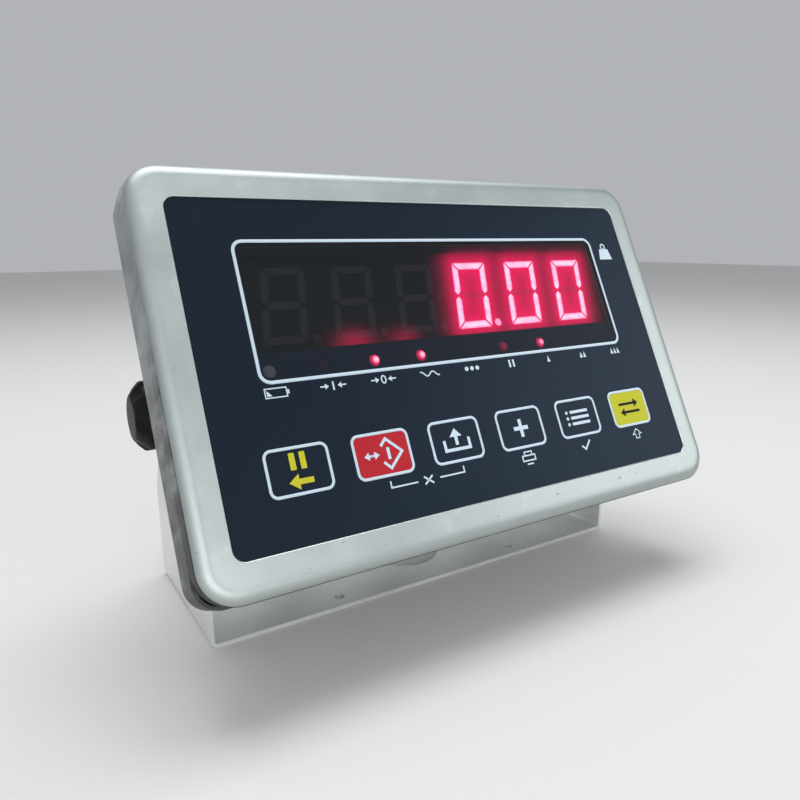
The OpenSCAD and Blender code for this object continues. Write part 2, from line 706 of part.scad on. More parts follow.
module capacitors() color([0.14, 0.18, 0.30]) on_face() for (c = capacitor_shares)
    translate([main_board_x + c[0] * main_board_w, main_board_y + c[1] * main_board_w, 0])
        rod(capacitor_r, main_board_face, main_board_face + capacitor_h);

// Screw terminals along the main board's lower edge, for the cables from the glands
module terminal_block() color([0.10, 0.40, 0.24]) on_face()
    translate([main_board_x - terminal_count * terminal_w / 2, main_board_y - main_board_h / 2 + 2 * board_inset,
               main_board_face]) difference() {
        cube([terminal_count * terminal_w, terminal_h, terminal_d]);
        for (k = [0:terminal_count - 1]) translate([(k + 1 / 2) * terminal_w, terminal_h / 2, 0])
            rod(terminal_w / 3, terminal_d * 2 / 3, terminal_d + cut);
    }

// Flat cable with a header on each board
module ribbon_cable() color([0.62, 0.62, 0.66]) on_face() translate([ribbon_x, ribbon_y, 0]) {
    translate([-header_w / 2, -header_h / 2, display_board_in - header_d]) cube([header_w, header_h, header_d]);
    translate([-header_w / 2, -header_h / 2, main_board_face]) cube([header_w, header_h, header_d]);
    translate([-ribbon_w / 2, -ribbon_t / 2, main_board_face])
        cube([ribbon_w, ribbon_t, display_board_in - main_board_face]);
}

module battery() color([0.20, 0.21, 0.24]) on_face()
    translate([-battery_w / 2, battery_y - battery_h / 2, battery_z]) cube([battery_w, battery_h, battery_d]);

// Strap round the battery, with a foot on the rear wall
module battery_strap() color([0.66, 0.67, 0.70]) on_face() {
    inner = battery_h + 2 * fit;
    high = battery_z + battery_d + fit;
    translate([-strap_w / 2, battery_y - inner / 2 - strap_t, tub_in]) difference() {
        cube([strap_w, inner + 2 * strap_t, high + strap_t - tub_in]);
        translate([-cut, strap_t, -cut]) cube([strap_w + 2 * cut, inner, high - tub_in + cut]);
    }
    translate([-strap_w / 2, battery_y - inner / 2 - strap_w, tub_in]) cube([strap_w, strap_w, strap_t]);
}

module transformer_core() color([0.30, 0.31, 0.33]) on_face() difference() {
    translate([core_x - core_w / 2, core_y - core_h / 2, tub_in + fit + (winding_d - core_d) / 2])
        cube([core_w, core_h, core_d]);
    for (s = [-1, 1]) translate([core_x + s * core_w / 4 - core_w / 12, core_y - core_h / 3, tub_in])
        cube([core_w / 6, core_h * 2 / 3, winding_d + cut]);
}

// Winding round the core's middle leg
module transformer_winding() color([0.72, 0.60, 0.30]) on_face() difference() {
    translate([core_x - core_w / 3 + fit, core_y - core_h / 3 + fit, tub_in + fine_fit])
        cube([core_w * 2 / 3 - 2 * fit, core_h * 2 / 3 - 2 * fit, winding_d]);
    translate([core_x - core_w / 6 - fit, core_y - core_h / 2, tub_in + fit + (winding_d - core_d) / 2 - fit])
        cube([core_w / 3 + 2 * fit, core_h, core_d + 2 * fit]);
}

// Places a child at each gland, pointing out of the rear wall
module at_glands() on_face() for (k = [0:gland_count - 1])
    translate([(k - (gland_count - 1) / 2) * gland_pitch, -gland_down, tub_z]) mirror([0, 0, 1]) children();

// Gland body: thread through the wall, hexagon outside, thread for the cap
module gland_bodies() color([0.13, 0.13, 0.14]) at_glands() difference() {
    union() {
        rod(gland_thread_r, -case_t - gland_inside, gland_hex_h);
        rotate([0, 0, 30]) cylinder(r = gland_hex_r, h = gland_hex_h, $fn = 6);
        rod(seal_r + gland_wall - fit, gland_hex_h - fine_fit, gland_hex_h + seal_len - gland_nose);
    }
    rod(cable_bore_r, -case_t - gland_inside - cut, gland_hex_h + gland_cap_h);
    rod(seal_r + fine_fit, gland_hex_h, gland_hex_h + gland_cap_h);
}

// Rubber seal that grips the cable
module gland_seals() color([0.22, 0.22, 0.23]) at_glands() difference() {
    rod(seal_r, gland_hex_h, gland_hex_h + seal_len);
    rod(cable_bore_r, gland_hex_h - cut, gland_hex_h + seal_len + cut);
}

// Domed cap nut over the seal
module gland_caps() color([0.11, 0.11, 0.12]) at_glands() difference() {
    union() {
        rod(gland_cap_r, gland_hex_h + fine_fit, gland_hex_h + gland_cap_h - gland_nose);
        translate([0, 0, gland_hex_h + gland_cap_h - gland_nose]) intersection() {
            sphere(r = gland_cap_r);
            rod(gland_cap_r, -fine_fit, gland_nose);
        }
    }
    rod(seal_r + gland_wall, gland_hex_h - cut, gland_hex_h + seal_len + fine_fit);
    rod(cable_bore_r, 0, gland_hex_h + gland_cap_h + cut);
}

module gland_locknuts() color([0.14, 0.14, 0.15]) at_glands() difference() {
    translate([0, 0, -case_t - locknut_h]) cylinder(r = locknut_r, h = locknut_h, $fn = 6);
    rod(gland_thread_r + fine_fit, -case_t - locknut_h - cut, 0);
}

// Side view of an arm: straight up to the shoulder, then narrowing to the round top
function tangent_point(from, centre, r, side) =
    let (d = from - centre, a = atan2(d[1], d[0]) + side * acos(r / norm(d)))
    centre + r * [cos(a), sin(a)];
module arm_side() {
    pivot = [0, pivot_h];
    front = [-bracket_d / 2, arm_shoulder];
    rear = [bracket_d / 2, arm_shoulder];
    polygon([[-bracket_d / 2, 0], [bracket_d / 2, 0], rear, tangent_point(rear, pivot, arm_r, 1), pivot,
             tangent_point(front, pivot, arm_r, -1), front]);
    translate(pivot) circle(r = arm_r);
}

// Front view of the bent sheet: a U with round bends
module bent_sheet(half, bend, floor, top) {
    translate([-half, floor + bend]) square([2 * half, top - floor - bend]);
    translate([bend - half, floor]) square([2 * (half - bend), top - floor]);
    for (s = [-1, 1]) translate([s * (half - bend), floor + bend]) circle(r = bend);
}

module bracket() color([0.74, 0.75, 0.75]) difference() {
    intersection() {
        rotate([90, 0, 90]) linear_extrude(2 * arm_out, center = true) arm_side();
        rotate([90, 0, 0]) linear_extrude(bracket_d, center = true) difference() {
            bent_sheet(arm_out, bend_r + bracket_t, 0, arm_top);
            bent_sheet(arm_in, bend_r, bracket_t, arm_top + cut);
        }
    }
    for (sx = [-1, 1], sy = [-1, 1])
        translate([sx * hole_span / 2, sy * (bracket_d / 2 - hole_inset), 0]) rod(hole_r, -cut, bracket_t + cut);
    translate([0, cable_hole_in - bracket_d / 2, 0]) rod(cable_hole_r, -cut, bracket_t + cut);
    translate([0, 0, pivot_h]) rotate([0, 90, 0])
        cylinder(r = stud_hole_r, h = 2 * arm_out + 2 * cut, center = true);
}

// Threaded nuts welded inside the tub's side walls
module weld_nuts() color([0.70, 0.71, 0.73]) for (side = [-1, 1]) on_pivot(side) difference() {
    rod(weld_nut_r, stud_inside, tub_w / 2 - case_t);
    rod(stud_r + fine_fit, stud_inside - cut, tub_w / 2);
}

module friction_washers() color([0.13, 0.13, 0.14]) for (side = [-1, 1]) on_pivot(side) difference() {
    rod(washer_r, tub_w / 2 + washer_clear, tub_w / 2 + washer_clear + washer_t);
    rod(stud_hole_r, tub_w / 2, arm_in);
}

module plate_washer(side) color([0.72, 0.73, 0.75]) on_pivot(side) difference() {
    rod(plate_washer_r, arm_out + washer_clear, arm_out + washer_clear + plate_washer_t);
    rod(stud_r + fine_fit, arm_out, knob_base);
}

module stud(side) color([0.70, 0.71, 0.74]) on_pivot(side) rod(stud_r, stud_inside, stud_end);

// Lobed clamp knob: a star outline with a long bevel outside and a round neck towards the arm
module knob(side) color([0.07, 0.07, 0.075]) on_pivot(side) difference() {
    union() {
        rod(knob_neck_r, knob_base, knob_base + knob_neck_len);
        intersection() {
            translate([0, 0, knob_base + knob_neck_len - fine_fit]) linear_extrude(knob_len)
                rotate(side * knob_turn) difference() {
                    circle(r = knob_r);
                    for (k = [0:knob_lobes - 1]) rotate(k * 360 / knob_lobes)
                        translate([knob_r - knob_hollow + knob_hollow_r, 0]) circle(r = knob_hollow_r);
                }
            translate([0, 0, knob_base]) rotate_extrude()
                polygon([[0, 0], [knob_r, 0], [knob_r, knob_len - knob_bevel], [knob_cap_r, knob_len], [0, knob_len]]);
        }
    }
    rod(stud_r + fine_fit, knob_base - cut, stud_end + fine_fit);
}

bracket();
front_cover();
rear_case();
case_gasket();
cover_posts();
case_screws();
membrane_overlay();
display_window();
membrane_spacer();
membrane_circuit();
key_domes();
key_pad(0, [0.13, 0.16, 0.20]);  // key_hold
key_pad(1, [0.76, 0.16, 0.18]);  // key_tare
key_pad(2, [0.13, 0.16, 0.20]);  // key_recall
key_pad(3, [0.13, 0.16, 0.20]);  // key_add
key_pad(4, [0.13, 0.16, 0.20]);  // key_mode
key_pad(5, [0.82, 0.78, 0.16]);  // key_unit
digit_block(1);  // digit_1
digit_block(2);  // digit_2
digit_block(3);  // digit_3
digit_block(4);  // digit_4
digit_block(5);  // digit_5
digit_block(6);  // digit_6
segment_set(1);  // segments_1
segment_set(2);  // segments_2
segment_set(3);  // segments_3
segment_set(4);  // segments_4
segment_set(5);  // segments_5
segment_set(6);  // segments_6
status_lamps();
display_board();
display_standoffs();
display_screws();
main_board();
board_standoffs();
board_screws();
board_chips();
capacitors();
terminal_block();
ribbon_cable();
battery();
battery_strap();
transformer_core();
transformer_winding();
gland_bodies();
gland_caps();
gland_seals();
gland_locknuts();
weld_nuts();
friction_washers();
plate_washer(-1);  // plate_washer_left
plate_washer(1);  // plate_washer_right
knob(-1);  // knob_left
knob(1);  // knob_right
stud(-1);  // stud_left
stud(1);  // stud_right
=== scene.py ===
import math

import bmesh
import bpy
import numpy as np
from bpy.props import FloatProperty, FloatVectorProperty, IntProperty, PointerProperty
from mathutils import Matrix, Vector


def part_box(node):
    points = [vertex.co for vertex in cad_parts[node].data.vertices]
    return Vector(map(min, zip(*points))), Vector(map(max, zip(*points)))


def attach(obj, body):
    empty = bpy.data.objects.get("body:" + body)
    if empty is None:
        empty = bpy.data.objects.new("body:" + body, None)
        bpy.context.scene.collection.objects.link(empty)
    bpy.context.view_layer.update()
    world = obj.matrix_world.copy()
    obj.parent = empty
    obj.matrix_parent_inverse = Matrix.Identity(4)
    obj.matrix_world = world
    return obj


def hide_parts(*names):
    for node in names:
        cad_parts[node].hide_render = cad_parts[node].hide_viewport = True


bl_info = {
    "name": "Weighing indicator looks",
    "version": (1, 0, 0),
    "blender": (4, 5, 0),
    "location": "View3D > Sidebar > Indicator",
    "description": "Dresses the packed weighing indicator with printing, film, glow, "
                   "steel and a plain stage",
    "category": "Object",
}

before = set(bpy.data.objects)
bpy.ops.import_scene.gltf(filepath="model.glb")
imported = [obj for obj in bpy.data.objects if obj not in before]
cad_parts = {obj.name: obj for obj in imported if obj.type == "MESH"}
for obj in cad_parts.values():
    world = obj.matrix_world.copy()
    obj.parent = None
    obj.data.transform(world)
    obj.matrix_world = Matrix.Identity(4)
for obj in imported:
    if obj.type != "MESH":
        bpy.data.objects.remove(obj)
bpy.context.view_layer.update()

MM = 0.001
BLACK = (0.0, 0.0, 0.0)

# The pivot, the housing's tilt at rest, and the frame of its face: x to the right, y up along the face,
# z out of it, with the membrane's surface at 0. The lengths below are millimetres in that frame, up to
# the camera and the lights, which stand in metres in the world.
PIVOT_UP = 89.5
TILT = math.radians(26.4)
FACE = (Matrix.Translation((0, 0, PIVOT_UP * MM)) @ Matrix.Rotation(-TILT, 4, "X")
        @ Matrix.Translation((0, -0.0625, -0.001)) @ Matrix.Rotation(math.pi / 2, 4, "X"))

# Cover and case: outline of the cover, floor of its recess, backs of step and tub, place of the glands
COVER_W, COVER_H, COVER_R = 254.0, 158.5, 14.0
RECESS_FLOOR, STEP_BACK, TUB_BACK = -0.8, -28.05, -80.05
GLAND_PITCH, GLAND_Y = 62.0, -45.0

# Panel: the row of keys, the window, and in it the row of lamps with the top of their paler strip
KEYS, KEY_PITCH, KEY_DOWN, KEY_W, KEY_H, KEY_R = 6, 34.2, 39.35, 23.8, 16.55, 2.6
WINDOW_W, WINDOW_H, WINDOW_UP, WINDOW_R = 185.0, 55.0, 20.8, 4.0
LAMP_PITCH, LAMP_DOWN, STRIP_TOP = 21.85, 1.9, 4.4

# Printing: lift of the outlines above the film, and heights of the marks under the lamps and the keys
PRINT_LIFT, LAMP_MARK_Y, KEY_MARK_TOP, KEY_MARK_LOW = 0.01, -10.6, -49.9, -52.4

# Digits: their number, middle, pitch and slant, the height of a module, the half spread of a digit's
# segment lines, and the two faces of the foil round the modules
DIGITS, DIGIT_UP, DIGIT_PITCH, SLANT = 6, 24.2, 30.0, math.tan(math.radians(9))
MODULE_H, SEGMENT_X, SEGMENT_Y = 37.0, 7.6, 13.9
FOIL_LOW, FOIL_HIGH = -5.22, -5.1

# What is lit: three digits and one point, the strength and fall-off of their glow, how far it fades
# inside a digit and where it ends, and the lamps, counted from the middle one, with their strengths
LIT_DIGITS, LIT_POINT = (4, 5, 6), (25.5, 9.97)
WIDE_GLOW, NEAR_GLOW, POINT_GLOW = (0.56, 0.18), (0.36, 0.03), (0.3, 0.4)
INNER_FADE, GLOW_END = 0.45, 0.03
LAMP_LIGHT = {-2: 1.0, -1: 0.95, 2: 0.8, -3: 0.008, 1: 0.16}

# Camera at the photograph's angle, and lights: name, place, target, size, watts
CAMERA_PLACE, CAMERA_TURN = (-0.17643, -0.28768, 0.15967), (76.9076, 0.2676, -31.8832)
CAMERA_LENS = 30.893
LIGHTS = (
    ("ceiling_light", (0.1, 0.2, 1.4), (0, -0.05, 0.1), (1.2, 0.8), 14),
    ("left_light", (-1.1, -1.0, 0.6), (0, -0.05, 0.06), (1.2, 0.9), 2.4),
    ("base_light", (-0.35, -1.1, 0.30), (0, -0.06, 0.0), (0.6, 0.35), 4.5),
    ("front_light", (1.1, -0.9, 0.6), (0, -0.05, 0.1), (0.7, 0.7), 2.2),
)


# Settings

def colour(name, description, default):
    """A colour that a user can change."""
    return FloatVectorProperty(name=name, description=description, default=default,
                               size=3, subtype="COLOR", min=0, max=1)


def length(name, description, millimetres):
    """A length that a user can change; its default is given in millimetres."""
    return FloatProperty(name=name, description=description, default=millimetres * MM,
                         min=0, unit="LENGTH", subtype="DISTANCE")


class SteelSettings(bpy.types.PropertyGroup):
    cover: colour("Cover", "Colour of the front cover's stainless sheet", (0.60, 0.665, 0.655))
    side: colour("Side", "Colour of the ground sides of cover and case", (0.235, 0.25, 0.257))
    case: colour("Case", "Colour of the rear case's stainless sheet", (0.40, 0.42, 0.42))
    bracket: colour("Bracket", "Colour of the bracket's stainless sheet", (0.86, 0.87, 0.86))
    fittings: colour("Fittings", "Colour of screws, nuts, washers and studs", (0.55, 0.55, 0.56))
    grain: FloatProperty(name="Grain", description="Strength of the brushed grain",
                         default=0.5, min=0, max=1)


class PanelSettings(bpy.types.PropertyGroup):
    film: colour("Film", "Colour of the printed overlay", (0.0080, 0.0140, 0.0240))
    line: colour("Print", "Colour of the pale printing", (0.55, 0.66, 0.76))
    yellow: colour("Yellow print", "Colour of the yellow printing on the first key", (0.52, 0.50, 0.03))
    red_key: colour("Red key", "Colour of the second key", (0.43, 0.022, 0.032))
    yellow_key: colour("Yellow key", "Colour of the last key", (0.46, 0.46, 0.028))
    print_rise: length("Print rise", "Height of the printing above the film", 0.06)
    key_line: length("Key line", "Width of the keys' outlines", 1.1)
    window_line: length("Window line", "Width of the window's outline", 1.3)


class DisplaySettings(bpy.types.PropertyGroup):
    glow: colour("Glow", "Colour of the light round the lit segments", (1.0, 0.002, 0.115))
    core: colour("Core", "Colour of the lit segments", (1.0, 0.68, 0.89))
    smoke: colour("Smoke", "Colour of the window's film over the digits", (0.0150, 0.0185, 0.0225))
    strip: colour("Strip", "Colour of the window's film over the lamps", (0.0155, 0.0215, 0.0345))
    dark: colour("Dark segment", "Colour of a segment without light", (0.11, 0.10, 0.10))
    power: FloatProperty(name="Power", description="Strength of the lit segments",
                         default=3.6, min=0, max=40)


class KnobSettings(bpy.types.PropertyGroup):
    radius: length("Radius", "Radius of a knob over its lobes", 14.9)
    hollow: length("Hollow", "Depth of the hollows between the lobes", 2.6)
    cap: length("Cap", "Radius of the flat outer end", 9.2)
    lobes: IntProperty(name="Lobes", description="Lobes round a knob", default=5, min=3, max=9)


class StageSettings(bpy.types.PropertyGroup):
    floor: colour("Floor", "Colour of the floor", (0.72, 0.72, 0.71))
    light: FloatProperty(name="Light", description="Strength of the soft lights",
                         default=1.0, min=0, max=5)


# Shaders

class Wire:
    """A socket of a shader tree; arithmetic on it adds Math nodes."""

    def __init__(self, tree, socket):
        self.tree, self.socket = tree, socket

    def maths(self, operation, *values):
        """One Math node on wires and numbers."""
        return self.tree.add("ShaderNodeMath", {"operation": operation}, dict(enumerate(values)))

    def __add__(self, other):
        return self.maths("ADD", self, other)

    def __radd__(self, other):
        return self.maths("ADD", other, self)

    def __sub__(self, other):
        return self.maths("SUBTRACT", self, other)

    def __rsub__(self, other):
        return self.maths("SUBTRACT", other, self)

    def __mul__(self, other):
        return self.maths("MULTIPLY", self, other)

    def __rmul__(self, other):
        return self.maths("MULTIPLY", other, self)

    def __truediv__(self, other):
        return self.maths("DIVIDE", self, other)

    def __rtruediv__(self, other):
        return self.maths("DIVIDE", other, self)

    def __pow__(self, other):
        return self.maths("POWER", self, other)

    def __neg__(self):
        return self.maths("MULTIPLY", self, -1.0)

    def __abs__(self):
        return self.maths("ABSOLUTE", self)

    def __lt__(self, other):
        return self.maths("LESS_THAN", self, other)

    def __gt__(self, other):
        return self.maths("GREATER_THAN", self, other)

    def lowest(self, other):
        return self.maths("MINIMUM", self, other)

    def highest(self, other):
        return self.maths("MAXIMUM", self, other)

    def exp(self):
        return self.maths("EXPONENT", self)

    def between(self, low, high):
        """0 at low, 1 at high, smooth in between."""
        return self.tree.add("ShaderNodeMapRange", {"interpolation_type": "SMOOTHSTEP"},
                             {"Value": self, "From Min": low, "From Max": high})


class Finish:
    """One material: its node tree, its surface shader and a method that adds any node."""

    def __init__(self, name):
        self.material = bpy.data.materials.new(name)
        self.material.use_nodes = True
        self.nodes, self.links = self.material.node_tree.nodes, self.material.node_tree.links
        self.nodes.clear()
        self.output = self.nodes.new("ShaderNodeOutputMaterial")

    def add(self, kind, settings=None, inputs=None, out=0):
        """Any node: its settings first, then the values or wires of its sockets; gives one output."""
        node = self.nodes.new(kind)
        for key, value in (settings or {}).items():
            setattr(node, key, value)
        for key, value in (inputs or {}).items():
            socket = node.inputs[key]
            if isinstance(value, Wire):
                self.links.new(value.socket, socket)
            else:
                socket.default_value = value
        return Wire(self, node.outputs[out])

    def place(self, scale=None):
        """Object coordinates in millimetres, in the face's own frame, stretched by scale."""
        raw = self.add("ShaderNodeTexCoord", out="Object")
        to_face = FACE.inverted()
        turned = self.add("ShaderNodeMapping", {"vector_type": "POINT"}, {
            "Vector": raw, "Location": to_face.translation / MM,
            "Rotation": to_face.to_euler(), "Scale": (1 / MM, 1 / MM, 1 / MM)})
        if scale is None:
            return turned
        return self.add("ShaderNodeVectorMath", {"operation": "MULTIPLY"}, {0: turned, 1: scale})

    def axes(self, vector):
        """The three parts of a vector."""
        return [self.add("ShaderNodeSeparateXYZ", inputs={0: vector}, out=k) for k in range(3)]

    def noise(self, vector, scale, detail, rough):
        return self.add("ShaderNodeTexNoise", {"noise_dimensions": "3D"},
                        {"Vector": vector, "Scale": scale, "Detail": detail, "Roughness": rough})

    def blend(self, factor, low, high):
        """A colour between two colours; the Mix node's colour sockets are 6 and 7, its result is 2."""
        node = self.nodes.new("ShaderNodeMix")
        node.data_type = "RGBA"
        for key, value in ((0, factor), (6, low), (7, high)):
            if isinstance(value, Wire):
                self.links.new(value.socket, node.inputs[key])
            else:
                node.inputs[key].default_value = value if key == 0 else (*value, 1.0)
        return Wire(self, node.outputs[2])

    def bump(self, height, strength, distance):
        return self.add("ShaderNodeBump", inputs={
            "Height": height, "Strength": strength, "Distance": distance})

    def surface(self, **inputs):
        """The surface shader; the words are its sockets' names with _ for a space."""
        shader = self.add("ShaderNodeBsdfPrincipled", inputs={
            key.replace("_", " "): value for key, value in inputs.items()})
        self.links.new(shader.socket, self.output.inputs["Surface"])
        return self.material


def shade(tone, factor):
    """A colour made darker or paler."""
    return tuple(min(1.0, channel * factor) for channel in tone)


def dress(finish, *nodes):
    """Gives CAD nodes a material."""
    for name in nodes:
        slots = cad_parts[name].data.materials
        if not slots:
            slots.append(finish)
        for k in range(len(slots)):
            slots[k] = finish


def steel_grain(look, grain, along):
    """Fine brushed streaks, soft large patches and small specks."""
    streak = look.noise(look.place(along), 3.2, 4.0, 0.62)
    patch = look.noise(look.place(), 0.035, 3.0, 0.55)
    speck = look.noise(look.place(), 4.0, 2.0, 0.5)
    return (streak - 0.5) * grain, patch, speck


def steel_relief(look, grain, fine, speck):
    """Shallow bumps from the same streaks and specks."""
    return look.bump(fine * 0.8 + speck * 0.2, 0.10 * grain + 0.02, 0.0002)


def brushed_steel(name, tone, grain, along, rough):
    """Stainless sheet as rolled and brushed, with streaks along one direction."""
    look = Finish(name)
    fine, patch, speck = steel_grain(look, grain, along)
    return look.surface(
        Base_Color=look.blend(0.5 + fine * 0.9 + (patch - 0.5) * 0.8, shade(tone, 0.80), shade(tone, 1.10)),
        Metallic=1.0, Roughness=rough + fine * 0.16 + (patch - 0.5) * 0.18 + (speck - 0.5) * 0.05,
        Normal=steel_relief(look, grain, fine, speck))


def ground_tone_and_shade(look, tone):
    """Blotches that run across the sides, as a hand grinder leaves them, and painted shade that darkens them
    towards the bottom.
    """
    _, y, _ = look.axes(look.place())
    # Painted shade: the height is added to the blotches, so they grow darker towards the bottom
    blotch_and_shade = look.noise(look.place((0.35, 1.0, 0.4)), 0.07, 3.0, 0.6) + y * 0.0042
    return look.blend(blotch_and_shade.between(0.2, 0.8), shade(tone, 0.22), shade(tone, 1.8))


def inset(x, y):
    """How far a place lies inside the cover's rounded outline."""
    across = (abs(x) - (COVER_W / 2 - COVER_R)).highest(0.0)
    up = (abs(y) - (COVER_H / 2 - COVER_R)).highest(0.0)
    return COVER_R - (across ** 2.0 + up ** 2.0) ** 0.5


def plain_metal(name, tone, rough=0.32):
    """Turned or plated metal of small parts."""
    look = Finish(name)
    turn = look.noise(look.place(), 1.2, 3.0, 0.6)
    return look.surface(Base_Color=look.blend(turn, shade(tone, 0.82), shade(tone, 1.1)), Metallic=1.0,
                        Roughness=rough + (turn - 0.5) * 0.2, Normal=look.bump(turn, 0.05, 0.0002))


def moulded(name, tone, rough, grain, depth, gloss=0.5):
    """Plastic or rubber with a fine pebbled skin."""
    look = Finish(name)
    pebble = look.noise(look.place(), grain, 2.0, 0.5)
    cloud = look.noise(look.place(), 0.08, 2.0, 0.5)
    return look.surface(Base_Color=look.blend(cloud, shade(tone, 0.85), shade(tone, 1.12)),
                        Roughness=rough + (pebble - 0.5) * 0.12 + (cloud - 0.5) * 0.08,
                        Specular_IOR_Level=gloss, Normal=look.bump(pebble, depth, 0.0001))


def printed_film(name, tone, rough=0.36, sheen_factor=1.1):
    """Finely grained polyester film, with a painted sheen that makes it a little paler towards the lower
    right.
    """
    look = Finish(name)
    grain = look.noise(look.place(), 7.0, 2.0, 0.6)
    x, y, _ = look.axes(look.place())
    cloud = look.noise(look.place(), 0.02, 2.0, 0.5)
    # Painted sheen: paler towards the lower right, with a little random cloud in it
    painted_sheen = (x - y * 0.6).between(-130.0, 150.0) * 0.8 + cloud * 0.2
    return look.surface(Base_Color=look.blend(painted_sheen, shade(tone, 0.9), shade(tone, sheen_factor)),
                        Roughness=rough + (grain - 0.5) * 0.06 + (cloud - 0.5) * 0.05,
                        Specular_IOR_Level=0.10, Normal=look.bump(grain, 0.05, 0.00004))


def key_x(key):
    """Middle of a key, counted from 0 at the left."""
    return (key - (KEYS - 1) / 2) * KEY_PITCH


def digit_x(digit):
    """Middle of a digit, counted from 1 at the left."""
    return (digit - (DIGITS + 1) / 2) * DIGIT_PITCH


def halo(look):
    """How much light of the three lit noughts and their point reaches a place on the face."""
    x, y, _ = look.axes(look.place())
    up = y - DIGIT_UP
    total = 0.0
    for digit in LIT_DIGITS:
        across = abs(x - digit_x(digit) - up * SLANT) - SEGMENT_X
        high = abs(up) - SEGMENT_Y
        beyond = (across.highest(0.0) ** 2.0 + high.highest(0.0) ** 2.0) ** 0.5
        away = beyond + across.highest(high).lowest(0.0) * -INNER_FADE
        total = WIDE_GLOW[0] * (away * -WIDE_GLOW[1]).exp() + total
        total = NEAR_GLOW[0] * (away * away * -NEAR_GLOW[1]).exp() + total
    point = ((x - LIT_POINT[0]) ** 2.0 + (y - LIT_POINT[1]) ** 2.0) ** 0.5
    total = POINT_GLOW[0] * (point * -POINT_GLOW[1]).exp() + total
    return (total - GLOW_END).highest(0.0).lowest(1.0)


def spill(look):
    """Light that two bright lamps throw up onto the digits."""
    x, y, _ = look.axes(look.place())
    return (spot(x, y, -2.0 * LAMP_PITCH - 5.0, 6.5, 8.0, 5.0) * 0.28
            + spot(x, y, -LAMP_PITCH - 4.0, 6.5, 7.0, 4.4) * 0.19)


def spot(x, y, cx, cy, wide, high):
    """A soft spot: 1 at its centre."""
    across, up = (x - cx) / wide, (y - cy) / high
    return (-(across * across + up * up)).exp()


def thrown_light(look, glow):
    """Colour of the light that the lit digits and lamps throw on what lies round them."""
    return look.blend((halo(look) + spill(look)).lowest(1.0), BLACK, glow)


# Mesh helpers

def piece(name, bm, finish, body, slot_name, on_face=True, smooth=None, replaced=()):
    """Turns a bmesh, drawn in millimetres, into a finished piece that rides on a body."""
    bmesh.ops.recalc_face_normals(bm, faces=bm.faces)
    mesh = bpy.data.meshes.new(name)
    bm.to_mesh(mesh)
    bm.free()
    settle(name, mesh, finish, body, slot_name, on_face, smooth, replaced)


def settle(name, mesh, finish, body, slot_name, on_face=True, smooth=None, replaced=()):
    """Puts a mesh in place as an object at the origin; smooth is the sharpest angle that stays soft."""
    scale = Matrix.Scale(MM, 4)
    mesh.transform(FACE @ scale if on_face else scale)
    mesh.materials.clear()
    mesh.materials.append(finish)
    if smooth is not None:
        mesh.shade_smooth()
        mesh.set_sharp_from_angle(angle=math.radians(smooth))
    item = bpy.data.objects.new(name, mesh)
    bpy.context.scene.collection.objects.link(item)
    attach(item, body)
    if replaced:
        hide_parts(*replaced)


def plate(bm, outline, low, high, holes):
    """A flat plate from a closed outline between two heights, with holes."""
    flat = bmesh.new()
    edges = []
    for loop in (outline, *holes):
        verts = [flat.verts.new((x, y, low)) for x, y in loop]
        edges += [flat.edges.new((verts[k], verts[(k + 1) % len(verts)])) for k in range(len(verts))]
    bmesh.ops.triangle_fill(flat, edges=edges, use_beauty=True)
    bmesh.ops.recalc_face_normals(flat, faces=flat.faces)
    up = bmesh.ops.extrude_face_region(flat, geom=list(flat.faces))
    for part in up["geom"]:
        if isinstance(part, bmesh.types.BMVert):
            part.co.z = high
    mesh = bpy.data.meshes.new("part")
    flat.to_mesh(mesh)
    flat.free()
    bm.from_mesh(mesh)
    bpy.data.meshes.remove(mesh)


def rounded(width, height, corner, cx, cy, steps=6):
    """The outline of a rectangle with round corners, about a point."""
    points = []
    for k, (sx, sy) in enumerate(((1, 1), (-1, 1), (-1, -1), (1, -1))):
        for step in range(steps + 1):
            angle = math.radians(90 * k + 90 * step / steps)
            points.append((cx + sx * (width / 2 - corner) + corner * math.cos(angle),
                           cy + sy * (height / 2 - corner) + corner * math.sin(angle)))
    return points


def disc(cx, cy, radius, steps):
    """The outline of a round dot."""
    return [(cx + radius * math.cos(2 * math.pi * k / steps),
             cy + radius * math.sin(2 * math.pi * k / steps)) for k in range(steps)]


def stroke(points, width, closed=False):
    """The outline of a line of the given width with mitred corners; two loops where it is closed."""
    path = [Vector(point) for point in points]
    sharpest = 0.35
    count = len(path)
    left, right = [], []
    for k, here in enumerate(path):
        before = path[k - 1] if closed or k else None
        after = path[(k + 1) % count] if closed or k < count - 1 else None
        arriving = (here - before).normalized() if before is not None else (after - here).normalized()
        leaving = (after - here).normalized() if after is not None else arriving
        normal = Vector((-(arriving.y + leaving.y), arriving.x + leaving.x)).normalized()
        reach = width / 2 / max(sharpest, normal.dot(Vector((-arriving.y, arriving.x))))
        left.append(tuple(here + normal * reach))
        right.append(tuple(here - normal * reach))
    return (left, right) if closed else left + right[::-1]


